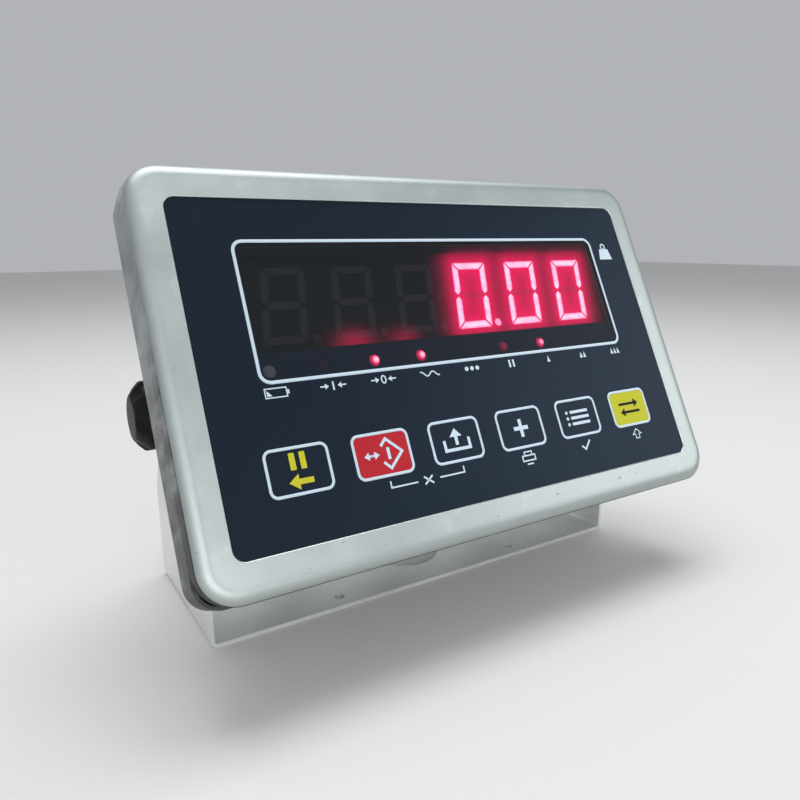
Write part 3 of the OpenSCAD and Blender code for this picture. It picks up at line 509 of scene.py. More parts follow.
class Marks:
    """Printed marks, gathered into one mesh."""

    def __init__(self, rise):
        self.bm, self.rise = bmesh.new(), rise

    def fill(self, outline, *holes):
        """A filled shape, which may have holes."""
        plate(self.bm, outline, 0.0, self.rise, holes)

    def line(self, points, width):
        """A line through points, with blunt ends."""
        self.fill(stroke(points, width))

    def loop(self, points, width):
        """A closed line through points."""
        inner, outer = sorted(stroke(points, width, closed=True), key=area)
        self.fill(outer, inner)

    def arrow(self, x, y, size, way, width, head):
        """A straight arrow about a point, to the right (way 1) or left (-1); head is a share of size."""
        tip, neck, tail = x + way * size / 2, x + way * size * (0.5 - head), x - way * size / 2
        shaft, barb = width / 2, size * head * 0.72
        self.fill([(tip, y), (neck, y + barb), (neck, y + shaft), (tail, y + shaft),
                   (tail, y - shaft), (neck, y - shaft), (neck, y - barb)])


def area(loop):
    """The area inside a closed outline."""
    return abs(sum(x1 * y2 - x2 * y1 for (x1, y1), (x2, y2) in zip(loop, loop[1:] + loop[:1]))) / 2


def tree_piece(name, build, inputs):
    """Runs a node tree on an empty mesh and returns the plain mesh it makes."""
    tree = bpy.data.node_groups.new(name, "GeometryNodeTree")
    tree.interface.new_socket("Geometry", in_out="OUTPUT", socket_type="NodeSocketGeometry")
    names = {}
    for key, (kind, _) in inputs.items():
        names[key] = tree.interface.new_socket(key, in_out="INPUT", socket_type=kind).identifier
    source, sink = tree.nodes.new("NodeGroupInput"), tree.nodes.new("NodeGroupOutput")

    def add(kind, settings=None, **links):
        """One node of the tree; the words are its sockets' names with _ for a space."""
        node = tree.nodes.new(kind)
        for key, value in (settings or {}).items():
            setattr(node, key, value)
        for key, value in links.items():
            socket = node.inputs[key.replace("_", " ")]
            if isinstance(value, bpy.types.NodeSocket):
                tree.links.new(value, socket)
            else:
                socket.default_value = value
        return node

    made = build(add, source.outputs)
    tree.links.new(made, sink.inputs[0])
    holder = bpy.data.objects.new(name, bpy.data.meshes.new(name))
    bpy.context.scene.collection.objects.link(holder)
    modifier = holder.modifiers.new(name, "NODES")
    modifier.node_group = tree
    for key, (_, value) in inputs.items():
        modifier[names[key]] = value
    bpy.context.view_layer.update()
    seen = holder.evaluated_get(bpy.context.evaluated_depsgraph_get())
    mesh = bpy.data.meshes.new_from_object(seen)
    holder.modifiers.remove(modifier)
    bpy.data.objects.remove(holder)
    bm = bmesh.new()
    bm.from_mesh(mesh)
    bmesh.ops.remove_doubles(bm, verts=bm.verts, dist=1e-5)
    bmesh.ops.recalc_face_normals(bm, faces=bm.faces)
    bm.to_mesh(mesh)
    bm.free()
    return mesh


def rings(bm, profile, outline, steps, closed=False):
    """A skin through rings round +Z: profile lists (height, radius, lobing), outline the real radius."""
    turns = [2 * math.pi * k / steps for k in range(steps)]
    rows = []
    for height, radius, lobing in profile:
        reach = [outline(turn, radius, lobing) for turn in turns]
        rows.append([bm.verts.new((far * math.cos(turn), far * math.sin(turn), height))
                     for far, turn in zip(reach, turns)])
    pairs = list(zip(rows, rows[1:])) + ([(rows[-1], rows[0])] if closed else [])
    for low, high in pairs:
        for k in range(steps):
            bm.faces.new((low[k], low[(k + 1) % steps], high[(k + 1) % steps], high[k]))
    if not closed:
        bm.faces.new(rows[0][::-1])
        bm.faces.new(rows[-1])


# Operators

class INDICATOR_OT_steelwork(bpy.types.Operator):
    """Stainless finishes for the cover, the case and the bracket, and metal finishes for their fittings"""
    bl_idname = "indicator.steelwork"
    bl_label = "Steelwork"

    def execute(self, context):
        chosen = context.scene.indicator_steel
        dress(self.cover_finish(chosen), "front_cover")
        dress(self.case_finish(chosen), "rear_case")
        dress(brushed_steel("bracket_steel", chosen.bracket, chosen.grain, (0.03, 1.0, 1.0), 0.55), "bracket")
        dress(plain_metal("fitting_steel", chosen.fittings),
              "case_screws", "weld_nuts", "cover_posts", "key_domes",
              "stud_left", "stud_right", "plate_washer_left", "plate_washer_right")
        dress(moulded("black_rubber", (0.02, 0.02, 0.021), 0.75, 3.0, 0.25),
              "case_gasket", "friction_washers", "gland_seals")
        return {"FINISHED"}

    def case_finish(self, chosen):
        """Ground steel, blotched on the wide band with painted shade towards its bottom, and even on the tub
        behind it.
        """
        look = Finish("case_steel")
        _, _, z = look.axes(look.place())
        fine, patch, speck = steel_grain(look, chosen.grain, (0.05, 1.0, 0.6))
        even = look.blend(0.5 + fine * 0.9 + (patch - 0.5) * 0.8,
                          shade(chosen.case, 0.84), shade(chosen.case, 1.10))
        # The wide band takes the ground blotches with their painted shade towards the bottom
        band = z.between(STEP_BACK - 4.0, STEP_BACK + 4.0)
        return look.surface(
            Base_Color=look.blend(band, even, ground_tone_and_shade(look, chosen.side)), Metallic=1.0,
            Roughness=0.42 + fine * 0.16 + (patch - 0.5) * 0.16 + (speck - 0.5) * 0.05,
            Normal=steel_relief(look, chosen.grain, fine, speck))

    def cover_finish(self, chosen):
        """Satin face with painted shade at its rim, darker ground sides, and black lacquer with a painted
        glow on the floor behind the window.
        """
        display = bpy.context.scene.indicator_display
        look = Finish("cover_steel")
        x, y, z = look.axes(look.place())
        fine, patch, speck = steel_grain(look, chosen.grain, (0.03, 1.0, 1.0))
        smudge = look.noise(look.place(), 0.11, 2.0, 0.6).between(0.56, 0.74)
        side = 1.0 - inset(x, y).between(0.08, 0.38)
        tone = look.blend(0.5 + fine * 0.7 + (patch - 0.5) * 0.8,
                          shade(chosen.cover, 0.86), shade(chosen.cover, 1.08))
        # Painted shade: the face turns darker within a few millimetres of its rounded rim
        rim = 1.0 - inset(x, y).between(2.0, 7.0)
        face = look.blend(smudge * 0.35, tone, shade(chosen.cover, 1.25))
        face = look.blend(rim * 0.8, face, shade(chosen.cover, 0.62))
        pits = look.noise(look.place((0.6, 1.0, 1.0)), 0.42, 2.0, 0.55).between(0.69, 0.76)
        pits = pits * (1.0 - y.between(-75.0, 10.0) * 0.8)
        face = look.blend(pits * 0.6, face, shade(chosen.cover, 0.35))
        # The ground sides carry painted shade that darkens them towards the bottom
        steel = look.blend(side, face, ground_tone_and_shade(look, chosen.side))
        floor = (z < RECESS_FLOOR) * (abs(x) < WINDOW_W / 2) * (abs(y - WINDOW_UP) < WINDOW_H / 2 + 2.0)
        # Painted glow of the lit digits on the lacquered floor, given as emission
        glow = halo(look) ** 2.0 * (y > DIGIT_UP - MODULE_H / 2 - 1.0) * floor
        rough = 0.42 + fine * 0.14 + (patch - 0.5) * 0.16 + (speck - 0.5) * 0.05
        return look.surface(
            Base_Color=look.blend(floor, steel, shade(display.smoke, 0.8)), Metallic=1.0 - floor,
            Roughness=rough + rim * 0.1 + floor * 0.1,
            Emission_Color=look.blend(glow, BLACK, display.glow), Emission_Strength=display.power,
            Normal=steel_relief(look, chosen.grain, fine, speck))


class INDICATOR_OT_panel_film(bpy.types.Operator):
    """The grained film of the overlay and of the six keys, and the layers under it"""
    bl_idname = "indicator.panel_film"
    bl_label = "Panel film"

    def execute(self, context):
        chosen = context.scene.indicator_panel
        # The overlay film gets a strong painted sheen towards the lower right
        dress(printed_film("overlay_film", chosen.film, sheen_factor=2.0),
              "membrane_overlay", "key_hold", "key_recall", "key_add", "key_mode")
        dress(printed_film("red_film", chosen.red_key), "key_tare")
        dress(printed_film("yellow_film", chosen.yellow_key), "key_unit")
        dress(moulded("spacer_foam", (0.02, 0.02, 0.022), 0.8, 3.0, 0.2), "membrane_spacer")
        dress(moulded("circuit_film", (0.55, 0.50, 0.36), 0.3, 2.0, 0.02), "membrane_circuit")
        return {"FINISHED"}


class INDICATOR_OT_outlines(bpy.types.Operator):
    """The printed outlines of the window and the six keys"""
    bl_idname = "indicator.outlines"
    bl_label = "Outlines"

    def execute(self, context):
        chosen = context.scene.indicator_panel
        finish = printed_film("pale_print", chosen.line, 0.5)

        def build(add, given):
            """Round-cornered outlines, swept with a flat bar and set in a row."""
            bar = add("GeometryNodeCurvePrimitiveQuadrilateral", {"mode": "RECTANGLE"},
                      Width=given["Line"], Height=given["Rise"])
            ring = add("GeometryNodeCurvePrimitiveQuadrilateral", {"mode": "RECTANGLE"},
                       Width=given["Width"], Height=given["Height"])
            soft = add("GeometryNodeFilletCurve", {"mode": "POLY"}, Curve=ring.outputs[0], Count=7,
                       Radius=given["Corner"])
            rim = add("GeometryNodeCurveToMesh", Curve=soft.outputs[0], Profile_Curve=bar.outputs[0])
            row = add("GeometryNodeMeshLine", {"mode": "OFFSET"},
                      Count=given["Count"], Offset=given["Pitch"])
            many = add("GeometryNodeInstanceOnPoints", Points=row.outputs[0], Instance=rim.outputs[0])
            real = add("GeometryNodeRealizeInstances", Geometry=many.outputs[0])
            return add("GeometryNodeSetMaterial", Geometry=real.outputs[0],
                       Material=given["Material"]).outputs[0]

        def row(name, width, height, corner, line, count, pitch, x, y):
            """One or more like outlines in a row; x and y are the middle of the first."""
            mesh = tree_piece(name, build, {
                "Width": ("NodeSocketFloat", width), "Height": ("NodeSocketFloat", height),
                "Corner": ("NodeSocketFloat", corner), "Line": ("NodeSocketFloat", line),
                "Rise": ("NodeSocketFloat", chosen.print_rise / MM), "Count": ("NodeSocketInt", count),
                "Pitch": ("NodeSocketVector", (pitch, 0.0, 0.0)),
                "Material": ("NodeSocketMaterial", finish)})
            mesh.transform(Matrix.Translation((x, y, chosen.print_rise / MM / 2 + PRINT_LIFT)))
            settle(name, mesh, finish, "housing", "overlay")

        row("key_outlines", KEY_W, KEY_H, KEY_R, chosen.key_line / MM,
            KEYS, KEY_PITCH, key_x(0), -KEY_DOWN)
        row("window_outline", WINDOW_W, WINDOW_H, WINDOW_R, chosen.window_line / MM,
            1, 0.0, 0.0, WINDOW_UP)
        return {"FINISHED"}


class INDICATOR_OT_marks(bpy.types.Operator):
    """Plain marks on the keys, under the keys and the lamps and beside the window"""
    bl_idname = "indicator.marks"
    bl_label = "Marks"

    def execute(self, context):
        chosen = context.scene.indicator_panel
        rise = chosen.print_rise / MM
        pale = printed_film("mark_print", chosen.line, 0.5)
        gold = printed_film("yellow_print", chosen.yellow, 0.5)
        dark = printed_film("dark_print", (0.012, 0.012, 0.014), 0.5)
        keys = ((self.draw_hold, "hold", gold, "overlay"), (self.draw_tare, "tare", pale, "key_red"),
                (self.draw_recall, "recall", pale, "overlay"), (self.draw_add, "add", pale, "overlay"),
                (self.draw_mode, "mode", pale, "overlay"), (self.draw_unit, "unit", dark, "key_yellow"))
        for k, (draw, name, finish, slot_name) in enumerate(keys):
            marks = Marks(rise)
            draw(marks, key_x(k), -KEY_DOWN)
            piece("mark_" + name, marks.bm, finish, "key_" + name, slot_name)

        marks = Marks(rise)
        self.draw_under_keys(marks)
        self.draw_under_lamps(marks)
        self.draw_weight(marks)
        piece("panel_marks", marks.bm, pale, "housing", "overlay")
        return {"FINISHED"}

    def draw_hold(self, marks, x, y):
        """Two upright bars over an arrow."""
        for dx in (-2.0, 2.0):
            marks.fill(rounded(2.2, 6.2, 0.3, x + dx, y + 3.4))
        marks.arrow(x, y - 4.0, 9.4, -1, 2.0, 0.42)

    def draw_tare(self, marks, x, y):
        """A double arrow and a chevron frame round a bar."""
        marks.arrow(x - 6.4, y, 3.6, -1, 0.9, 0.6)
        marks.arrow(x - 3.4, y, 3.6, 1, 0.9, 0.6)
        marks.line([(x - 0.4, y + 3.1), (x + 2.2, y + 5.7), (x + 8.3, y),
                    (x + 2.2, y - 5.7), (x - 0.4, y - 3.1)], 1.1)
        marks.fill(rounded(1.3, 4.6, 0.2, x + 2.4, y))

    def draw_recall(self, marks, x, y):
        """An open tray with an arrow that leaves it."""
        marks.line([(x - 6.0, y + 0.6), (x - 6.0, y - 3.6), (x + 6.0, y - 3.6), (x + 6.0, y + 0.6)], 1.3)
        marks.fill([(x, y + 5.0), (x + 3.0, y + 1.6), (x + 0.75, y + 1.6), (x + 0.75, y - 1.9),
                    (x - 0.75, y - 1.9), (x - 0.75, y + 1.6), (x - 3.0, y + 1.6)])

    def draw_add(self, marks, x, y):
        """A plus, drawn as one quarter that is turned four times."""
        arm, half = 3.9, 0.85
        corner = [(-arm, -half), (-half, -half), (-half, -arm)]
        quarters = [corner, [(-dy, dx) for dx, dy in corner],
                    [(-dx, -dy) for dx, dy in corner], [(dy, -dx) for dx, dy in corner]]
        marks.fill([(x + dx, y + dy) for quarter in quarters for dx, dy in quarter])

    def draw_mode(self, marks, x, y):
        """Three lines of a list."""
        for dy in (-2.7, 0.0, 2.7):
            marks.fill(disc(x - 6.4, y + dy, 0.75, 16))
            marks.fill(rounded(11.0, 1.3, 0.3, x + 1.2, y + dy))

    def draw_unit(self, marks, x, y):
        """Two opposite arrows."""
        marks.arrow(x, y + 2.0, 13.0, 1, 1.2, 0.22)
        marks.arrow(x, y - 2.0, 13.0, -1, 1.2, 0.22)

    def draw_under_keys(self, marks):
        """A cross on a line that joins two keys, a printer, a tick and a hollow arrow."""
        hair, thin, plain, bold = 0.45, 0.55, 0.6, 0.7
        top, low = KEY_MARK_TOP, KEY_MARK_LOW
        marks.line([(-51.1, top), (-51.1, low), (-39.3, low)], plain)
        marks.line([(-29.0, low), (-17.1, low), (-17.1, top)], plain)
        marks.line([(-36.3, -50.9), (-32.3, -53.9)], bold)
        marks.line([(-36.3, -53.9), (-32.3, -50.9)], bold)
        x = key_x(3)
        marks.loop([(x - 3.4, -53.6), (x + 3.4, -53.6), (x + 3.4, -51.4), (x - 3.4, -51.4)], plain)
        marks.line([(x - 2.0, -51.2), (x - 2.0, -49.8), (x + 2.0, -49.8), (x + 2.0, -51.2)], thin)
        marks.line([(x - 1.7, -55.1), (x + 1.7, -55.1)], plain)
        x = key_x(4)
        marks.line([(x - 2.6, low), (x - 0.7, -54.2), (x + 2.9, -50.4)], 0.8)
        x = key_x(5)
        marks.loop([(x, top), (x + 2.7, low), (x + 1.2, low), (x + 1.2, -54.4),
                    (x - 1.2, -54.4), (x - 1.2, low), (x - 2.7, low)], hair)

    def draw_under_lamps(self, marks):
        """A battery, arrows to a bar and to a ring, a wave, dots, two bars, and one to three triangles."""
        hair, thin, aside = 0.45, 0.55, 0.4
        y = LAMP_MARK_Y
        lamp = [k * LAMP_PITCH for k in range(-4, 5)]
        marks.loop([(-92.0, y - 1.7), (-83.8, y - 1.7), (-83.8, y + 1.7), (-92.0, y + 1.7)], hair)
        marks.fill([(-83.5, y - 0.8), (-82.8, y - 0.8), (-82.8, y + 0.8), (-83.5, y + 0.8)])
        marks.fill([(-91.4, y - 1.1), (-89.4, y - 1.1), (-91.4, y + 1.1)])
        for k, apart in ((1, 3.6), (2, 3.8)):
            for way in (1, -1):
                marks.arrow(lamp[k] + aside - way * apart, y, 3.6, way, thin, 0.45)
        marks.fill(rounded(0.7, 3.4, 0.2, lamp[1] + aside, y))
        ring = np.linspace(0, 2 * math.pi, 20, False)
        marks.loop([(lamp[2] + aside + 0.95 * math.cos(angle), y + 1.5 * math.sin(angle))
                    for angle in ring], thin)
        wave = np.linspace(-4.6, 4.6, 33)
        marks.line([(lamp[3] + aside + dx, y + 0.9 * math.sin(dx * 1.15)) for dx in wave], thin)
        for dx in (-2.8, 0.0, 2.8):
            marks.fill(disc(lamp[4] + dx, y, 0.95, 20))
        for dx in (-1.1, 1.1):
            marks.fill(rounded(1.0, 3.4, 0.2, lamp[5] + dx, y))
        for x, count in ((lamp[6], 1), (lamp[7], 2), (lamp[8], 3)):
            for k in range(count):
                cx = x + (k - (count - 1) / 2) * 2.2
                marks.fill([(cx - 0.9, y - 1.4), (cx + 0.9, y - 1.4), (cx, y + 1.5)])

    def draw_weight(self, marks):
        """A plain weight with a ring, beside the window."""
        x, y = 101.4, 40.6
        marks.fill([(x - 4.4, y - 3.4), (x + 4.4, y - 3.4), (x + 3.0, y + 2.2), (x - 3.0, y + 2.2)])
        marks.loop(disc(x, y + 3.5, 1.35, 20), 0.75)


class INDICATOR_OT_display(bpy.types.Operator):
    """The smoked window, the digits with their glow, their lit segments and the lamps"""
    bl_idname = "indicator.display"
    bl_label = "Display"

    def execute(self, context):
        chosen = context.scene.indicator_display
        digits = range(1, DIGITS + 1)
        dress(self.window_film(chosen), "display_window")
        black = self.module_black(chosen)
        dress(black, *(f"digit_{digit}" for digit in digits))
        self.lay_foil(black, digits)
        dress(self.dark_segments(chosen),
              *(f"segments_{digit}" for digit in digits if digit not in LIT_DIGITS))
        for digit in LIT_DIGITS:
            dress(self.lit_segments(chosen, digit), f"segments_{digit}")
        dress(self.lamp_resin(chosen), "status_lamps")
        return {"FINISHED"}

    def window_film(self, chosen):
        """Film that is smoked over the digits and slate over the lamps."""
        look = Finish("smoked_film")
        _, y, _ = look.axes(look.place())
        strip = 1.0 - y.between(STRIP_TOP - 0.4, STRIP_TOP + 0.4)
        grain = look.noise(look.place(), 6.0, 2.0, 0.5)
        return look.surface(
            Base_Color=look.blend(strip, chosen.smoke, chosen.strip),
            Roughness=0.30 + (grain - 0.5) * 0.05, Alpha=0.47 + strip * 0.13,
            Specular_IOR_Level=0.12, Normal=look.bump(grain, 0.03, 0.00004))

    def module_black(self, chosen):
        """Black module faces that catch the light of the segments and of the lamps below."""
        look = Finish("digit_black")
        cloud = look.noise(look.place(), 0.1, 2.0, 0.5)
        return look.surface(
            Base_Color=look.blend(cloud, (0.012, 0.0115, 0.0115), (0.020, 0.019, 0.019)),
            Roughness=0.6 + (cloud - 0.5) * 0.1,
            Emission_Color=thrown_light(look, chosen.glow), Emission_Strength=chosen.power)

    def lay_foil(self, finish, digits):
        """Black foil round the modules and over the joints between them."""
        spare_w, spare_h, joint_w, lap = 14.0, 11.0, 1.6, 1.0
        bm = bmesh.new()
        outline = rounded(DIGIT_PITCH * DIGITS + spare_w, MODULE_H + spare_h, 3.0, 0.0, DIGIT_UP)
        holes = [rounded(DIGIT_PITCH - joint_w, MODULE_H - lap, 0.4, digit_x(digit), DIGIT_UP, 2)
                 for digit in digits]
        plate(bm, outline, FOIL_LOW, FOIL_HIGH, holes)
        piece("digit_foil", bm, finish, "housing", "digit_black")

    def dark_segments(self, chosen):
        """Diffusers without light of their own, with a painted glow of the lit digits and lamps given as
        emission.
        """
        look = Finish("segment_dark")
        cloud = look.noise(look.place(), 0.4, 2.0, 0.5)
        return look.surface(
            Base_Color=look.blend(cloud, shade(chosen.dark, 0.9), shade(chosen.dark, 1.1)),
            Roughness=0.5 + cloud * 0.1,
            # The emission here is painted glow thrown by the lit digits and lamps
            Emission_Color=thrown_light(look, chosen.glow), Emission_Strength=chosen.power)

    def lit_segments(self, chosen, digit):
        """A lit nought: its middle bar stays dark but for a painted glow, and only the first one has its
        point lit.
        """
        look = Finish(f"segment_lit_{digit}")
        x, y, _ = look.axes(look.place())
        right, up = x - digit_x(digit), y - DIGIT_UP
        across = right - up * SLANT
        bar = ((abs(across) + abs(up)) < SEGMENT_X) * (abs(up) < 1.75)
        point = (right > 8.4) * (up < -11.5) if digit > LIT_DIGITS[0] else bar * 0.0
        lit = 1.0 - bar.highest(point)
        cloud = look.noise(look.place(), 0.35, 2.0, 0.5).between(0.35, 0.7)
        off_line = abs((abs(across) - SEGMENT_X).highest(abs(up) - SEGMENT_Y)).between(0.5, 1.6)
        edge = off_line * (1.0 - point)
        tone = look.blend(cloud * 0.35 + edge * 0.55, chosen.core, (1.0, 0.14, 0.44))
        # Painted glow of the lit digits on the dark bar and point, given as emission
        painted_glow = look.blend(halo(look) * 0.8, BLACK, chosen.glow)
        return look.surface(
            Base_Color=look.blend(lit, chosen.dark, (0.9, 0.3, 0.35)),
            Roughness=0.5 + (cloud - 0.5) * 0.1,
            Emission_Color=look.blend(lit, painted_glow, tone), Emission_Strength=chosen.power)

    def lamp_resin(self, chosen):
        """Bright, dim and dark lamps in one row, the first of them pale."""
        look = Finish("lamp_resin")
        x, y, _ = look.axes(look.place())
        lit = 0.0
        for k, strength in LAMP_LIGHT.items():
            lit = spot(x, y, k * LAMP_PITCH, -LAMP_DOWN, 1.8, 1.8) * strength + lit
        pale = x < -3.5 * LAMP_PITCH
        cloud = look.noise(look.place(), 1.5, 2.0, 0.5)
        red = look.blend(lit.between(0.3, 0.9), chosen.glow, (1.0, 0.36, 0.50))
        tone = look.blend(pale, red, (0.62, 0.66, 0.72))
        return look.surface(
            Base_Color=look.blend(pale, (0.030, 0.016, 0.018), (0.62, 0.62, 0.64)),
            Roughness=0.35 + cloud * 0.1,
            Emission_Color=look.blend(pale * 0.025 + lit, BLACK, tone),
            Emission_Strength=chosen.power * 3.0)


class INDICATOR_OT_knobs(bpy.types.Operator):
    """Two lobed clamp knobs of satin black plastic"""
    bl_idname = "indicator.knobs"
    bl_label = "Knobs"

    def execute(self, context):
        chosen = context.scene.indicator_knob
        full, cap, hollow, lobes = chosen.radius / MM, chosen.cap / MM, chosen.hollow / MM, chosen.lobes
        cut = full * 0.45
        centre = full - hollow + cut
        step = 2 * math.pi / lobes

        def outline(turn, radius, lobing):
            """Round hollows of a circular cutter between the lobes, softened by a wave."""
            off = (turn + step / 2) % step - step / 2
            inside = cut * cut - (centre * math.sin(off)) ** 2
            star = min(full, centre * math.cos(off) - math.sqrt(inside)) if inside > 0 else full
            star = 0.8 * star + 0.2 * (full - hollow * 0.5 * (1 + math.cos(lobes * turn)))
            return radius + lobing * (min(star - full, 0.8 * (star - radius), 0.0))

        # Each row: length out from the knob's foot, radius and share of the lobes
        end, first_lobe = 14.3, math.radians(45)
        hub = [(0.0, 7.4, 0), (0.0, 7.9, 0), (0.4, 8.0, 0), (2.4, 8.0, 0), (3.0, 8.4, 0.1),
               (3.25, 10.0, 0.6)]
        flank = [(3.3, full - 1.2, 0.95), (3.5, full - 0.5, 1), (3.9, full - 0.1, 1), (4.6, full, 1),
                 (8.9, full, 1), (9.5, full - 0.15, 1), (10.1, full - 0.6, 1), (10.7, full - 1.25, 1)]
        bevel = [(12.0, cap + 3.1, 0.8), (13.2, cap + 1.35, 0.45), (13.8, cap + 0.5, 0.2),
                 (14.1, cap - 0.1, 0.1), (14.25, cap - 0.9, 0)]
        profile = hub + flank + bevel + [(end, cap - 1.8, 0), (end, 4.0, 0), (end, 0.4, 0)]
        finish = moulded("knob_plastic", (0.0075, 0.0070, 0.0065), 0.42, 1.2, 0.03, 0.12)
        for side, name in ((-1, "left"), (1, "right")):
            bm = bmesh.new()
            rings(bm, profile, outline, lobes * 24)
            low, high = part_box("knob_" + name)
            base = (-high.x if side < 0 else low.x) / MM
            bm.transform(Matrix.Translation((0, 0, PIVOT_UP)) @ Matrix.Rotation(-TILT, 4, "X")
                         @ Matrix.Rotation(side * math.pi / 2, 4, "Y") @ Matrix.Translation((0, 0, base))
                         @ Matrix.Rotation(side * first_lobe, 4, "Z"))
            piece("knob_head_" + name, bm, finish, "knob_" + name, "knob_black", on_face=False, smooth=32,
                  replaced=("knob_" + name,))
        return {"FINISHED"}


class INDICATOR_OT_glands(bpy.types.Operator):
    """Cable glands: ribbed cap nuts over the rubber seals"""
    bl_idname = "indicator.glands"
    bl_label = "Cable glands"

    def execute(self, context):
        nylon = moulded("gland_nylon", (0.018, 0.018, 0.019), 0.45, 3.0, 0.1)
        dress(nylon, "gland_bodies", "gland_locknuts")

        ribs, depth = 18, 0.45

        def outline(turn, radius, lobing):
            """Narrow grooves between rounded ribs."""
            return radius - lobing * depth * (0.5 + 0.5 * math.cos(ribs * turn)) ** 0.6

        skirt = [(5.2, 9.4, 0), (5.2, 10.2, 0), (5.6, 10.6, 0), (6.3, 10.65, 1), (9.0, 10.65, 1),
                 (12.5, 10.65, 1), (13.4, 10.55, 0.8), (14.2, 10.3, 0)]
        dome = [(15.6, 9.8, 0), (17.0, 9.0, 0), (18.4, 7.6, 0), (19.3, 6.1, 0), (19.7, 5.0, 0),
                (19.6, 4.1, 0)]
        bore = [(19.0, 3.6, 0), (13.4, 3.6, 0), (13.1, 3.9, 0), (13.1, 9.0, 0)]
        bm = bmesh.new()
        for k in (-1, 0, 1):
            one = bmesh.new()
            rings(one, skirt + dome + bore, outline, ribs * 8, closed=True)
            one.transform(Matrix.Translation((k * GLAND_PITCH, GLAND_Y, TUB_BACK))
                          @ Matrix.Rotation(math.pi, 4, "X"))
            mesh = bpy.data.meshes.new("cap")
            one.to_mesh(mesh)
            one.free()
            bm.from_mesh(mesh)
            bpy.data.meshes.remove(mesh)
        piece("gland_cap_nuts", bm, nylon, "housing", "gland_black", smooth=35, replaced=("gland_caps",))
        return {"FINISHED"}


class INDICATOR_OT_inside(bpy.types.Operator):
    """Finishes for the boards, battery, transformer and the other pieces inside"""
    bl_idname = "indicator.inside"
    bl_label = "Inside"

    def execute(self, context):
        look = Finish("solder_mask")
        tracks = look.noise(look.place((1.0, 0.25, 1.0)), 0.9, 1.0, 0.3)
        copper = tracks.between(0.56, 0.58)
        board = look.surface(Base_Color=look.blend(copper, (0.006, 0.075, 0.030), (0.012, 0.12, 0.045)),
                             Roughness=0.28 + copper * 0.1, Normal=look.bump(copper, 0.1, 0.00003))
        dress(board, "display_board", "main_board")
        dress(plain_metal("turned_brass", (0.70, 0.48, 0.20), 0.28), "display_standoffs", "board_standoffs")
        dress(plain_metal("zinc_screws", (0.56, 0.56, 0.58), 0.3),
              "display_screws", "board_screws", "battery_strap")
        dress(moulded("chip_resin", (0.012, 0.012, 0.013), 0.55, 6.0, 0.1), "board_chips")
        dress(moulded("capacitor_sleeve", (0.02, 0.035, 0.12), 0.3, 1.0, 0.02), "capacitors")
        dress(moulded("terminal_plastic", (0.01, 0.16, 0.06), 0.45, 3.0, 0.05), "terminal_block")
        dress(moulded("ribbon_sheath", (0.32, 0.32, 0.35), 0.45, 2.0, 0.1), "ribbon_cable")
        dress(moulded("battery_case", (0.035, 0.038, 0.048), 0.42, 3.0, 0.08), "battery")
        dress(moulded("varnished_core", (0.05, 0.05, 0.055), 0.35, 1.5, 0.2), "transformer_core")
        dress(moulded("winding_tape", (0.50, 0.34, 0.08), 0.4, 1.5, 0.05), "transformer_winding")
        return {"FINISHED"}


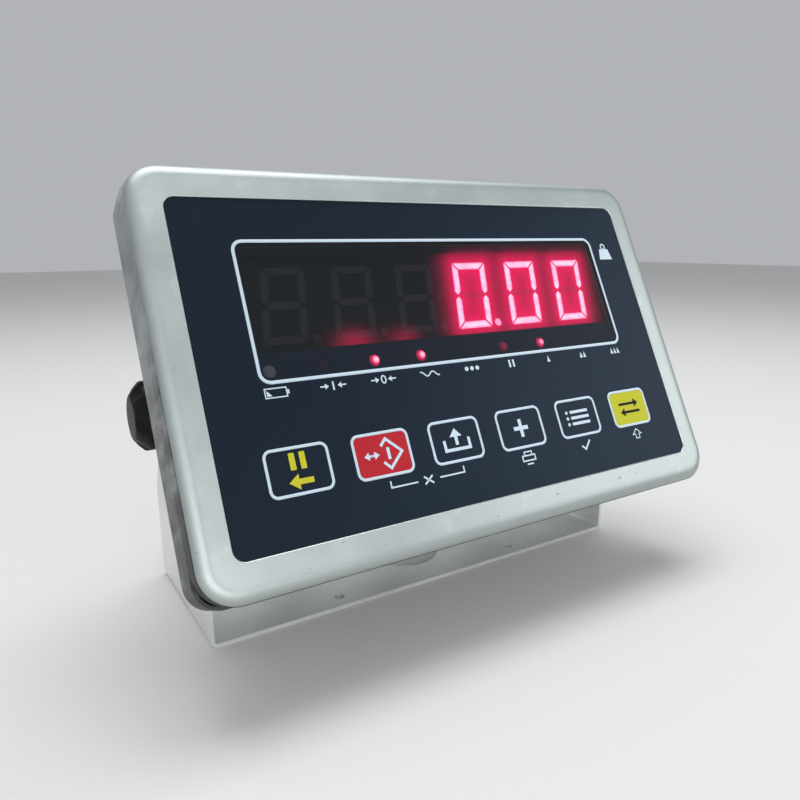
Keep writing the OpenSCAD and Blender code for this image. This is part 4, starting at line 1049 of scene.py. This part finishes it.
class INDICATOR_OT_stage(bpy.types.Operator):
    """Pale floor, soft lights and the camera"""
    bl_idname = "indicator.stage"
    bl_label = "Stage"

    def execute(self, context):
        chosen = context.scene.indicator_stage
        look = Finish("floor_paper")
        fleck = look.noise(look.place(), 0.3, 2.0, 0.5)
        paper = look.surface(Base_Color=look.blend(fleck, shade(chosen.floor, 0.98), chosen.floor),
                             Roughness=0.85)
        mesh = bpy.data.meshes.new("floor")
        reach = 4
        mesh.from_pydata([(-reach, -reach, 0), (reach, -reach, 0), (reach, reach, 0), (-reach, reach, 0)],
                         [], [(0, 1, 2, 3)])
        mesh.materials.append(paper)
        floor = bpy.data.objects.new("floor", mesh)
        context.scene.collection.objects.link(floor)

        world = bpy.data.worlds.new("soft_room")
        world.use_nodes = True
        background = world.node_tree.nodes["Background"]
        background.inputs["Color"].default_value = (0.80, 0.82, 0.85, 1)
        background.inputs["Strength"].default_value = 0.55 * chosen.light
        context.scene.world = world
        context.scene.view_settings.view_transform = "Standard"

        for name, place, target, size, watts in LIGHTS:
            data = bpy.data.lights.new(name, "AREA")
            data.shape, data.size, data.size_y = "RECTANGLE", size[0], size[1]
            data.energy = watts * chosen.light
            light = bpy.data.objects.new(name, data)
            light.location = place
            light.rotation_euler = (Vector(target) - Vector(place)).to_track_quat("-Z", "Y").to_euler()
            context.scene.collection.objects.link(light)

        camera = bpy.data.cameras.new("camera")
        camera.lens, camera.sensor_width, camera.clip_start = CAMERA_LENS, 36.0, 0.01
        view = bpy.data.objects.new("camera", camera)
        view.location = CAMERA_PLACE
        view.rotation_euler = tuple(math.radians(angle) for angle in CAMERA_TURN)
        context.scene.collection.objects.link(view)
        context.scene.camera = view
        return {"FINISHED"}


OPERATORS = [INDICATOR_OT_steelwork, INDICATOR_OT_panel_film, INDICATOR_OT_outlines,
             INDICATOR_OT_marks, INDICATOR_OT_display, INDICATOR_OT_knobs,
             INDICATOR_OT_glands, INDICATOR_OT_inside, INDICATOR_OT_stage]
SETTINGS = {"indicator_steel": SteelSettings, "indicator_panel": PanelSettings,
            "indicator_display": DisplaySettings, "indicator_knob": KnobSettings,
            "indicator_stage": StageSettings}


class INDICATOR_PT_sidebar(bpy.types.Panel):
    """Lists the settings and the steps"""
    bl_idname = "INDICATOR_PT_sidebar"
    bl_label = "Weighing indicator"
    bl_space_type = "VIEW_3D"
    bl_region_type = "UI"
    bl_category = "Indicator"

    def draw(self, context):
        for name in SETTINGS:
            group = getattr(context.scene, name)
            box = self.layout.box()
            for key in group.bl_rna.properties.keys():
                if key not in ("rna_type", "name"):
                    box.prop(group, key)
        for operator in OPERATORS:
            self.layout.operator(operator.bl_idname)


def register():
    for group in SETTINGS.values():
        bpy.utils.register_class(group)
    for name, group in SETTINGS.items():
        setattr(bpy.types.Scene, name, PointerProperty(type=group))
    for operator in OPERATORS:
        bpy.utils.register_class(operator)
    bpy.utils.register_class(INDICATOR_PT_sidebar)


def unregister():
    bpy.utils.unregister_class(INDICATOR_PT_sidebar)
    for operator in reversed(OPERATORS):
        bpy.utils.unregister_class(operator)
    for name in SETTINGS:
        delattr(bpy.types.Scene, name)
    for group in SETTINGS.values():
        bpy.utils.unregister_class(group)


def main():
    register()
    bpy.ops.indicator.steelwork()
    bpy.ops.indicator.panel_film()
    bpy.ops.indicator.outlines()
    bpy.ops.indicator.marks()
    bpy.ops.indicator.display()
    bpy.ops.indicator.knobs()
    bpy.ops.indicator.glands()
    bpy.ops.indicator.inside()
    bpy.ops.indicator.stage()


if __name__ == "__main__":
    main()
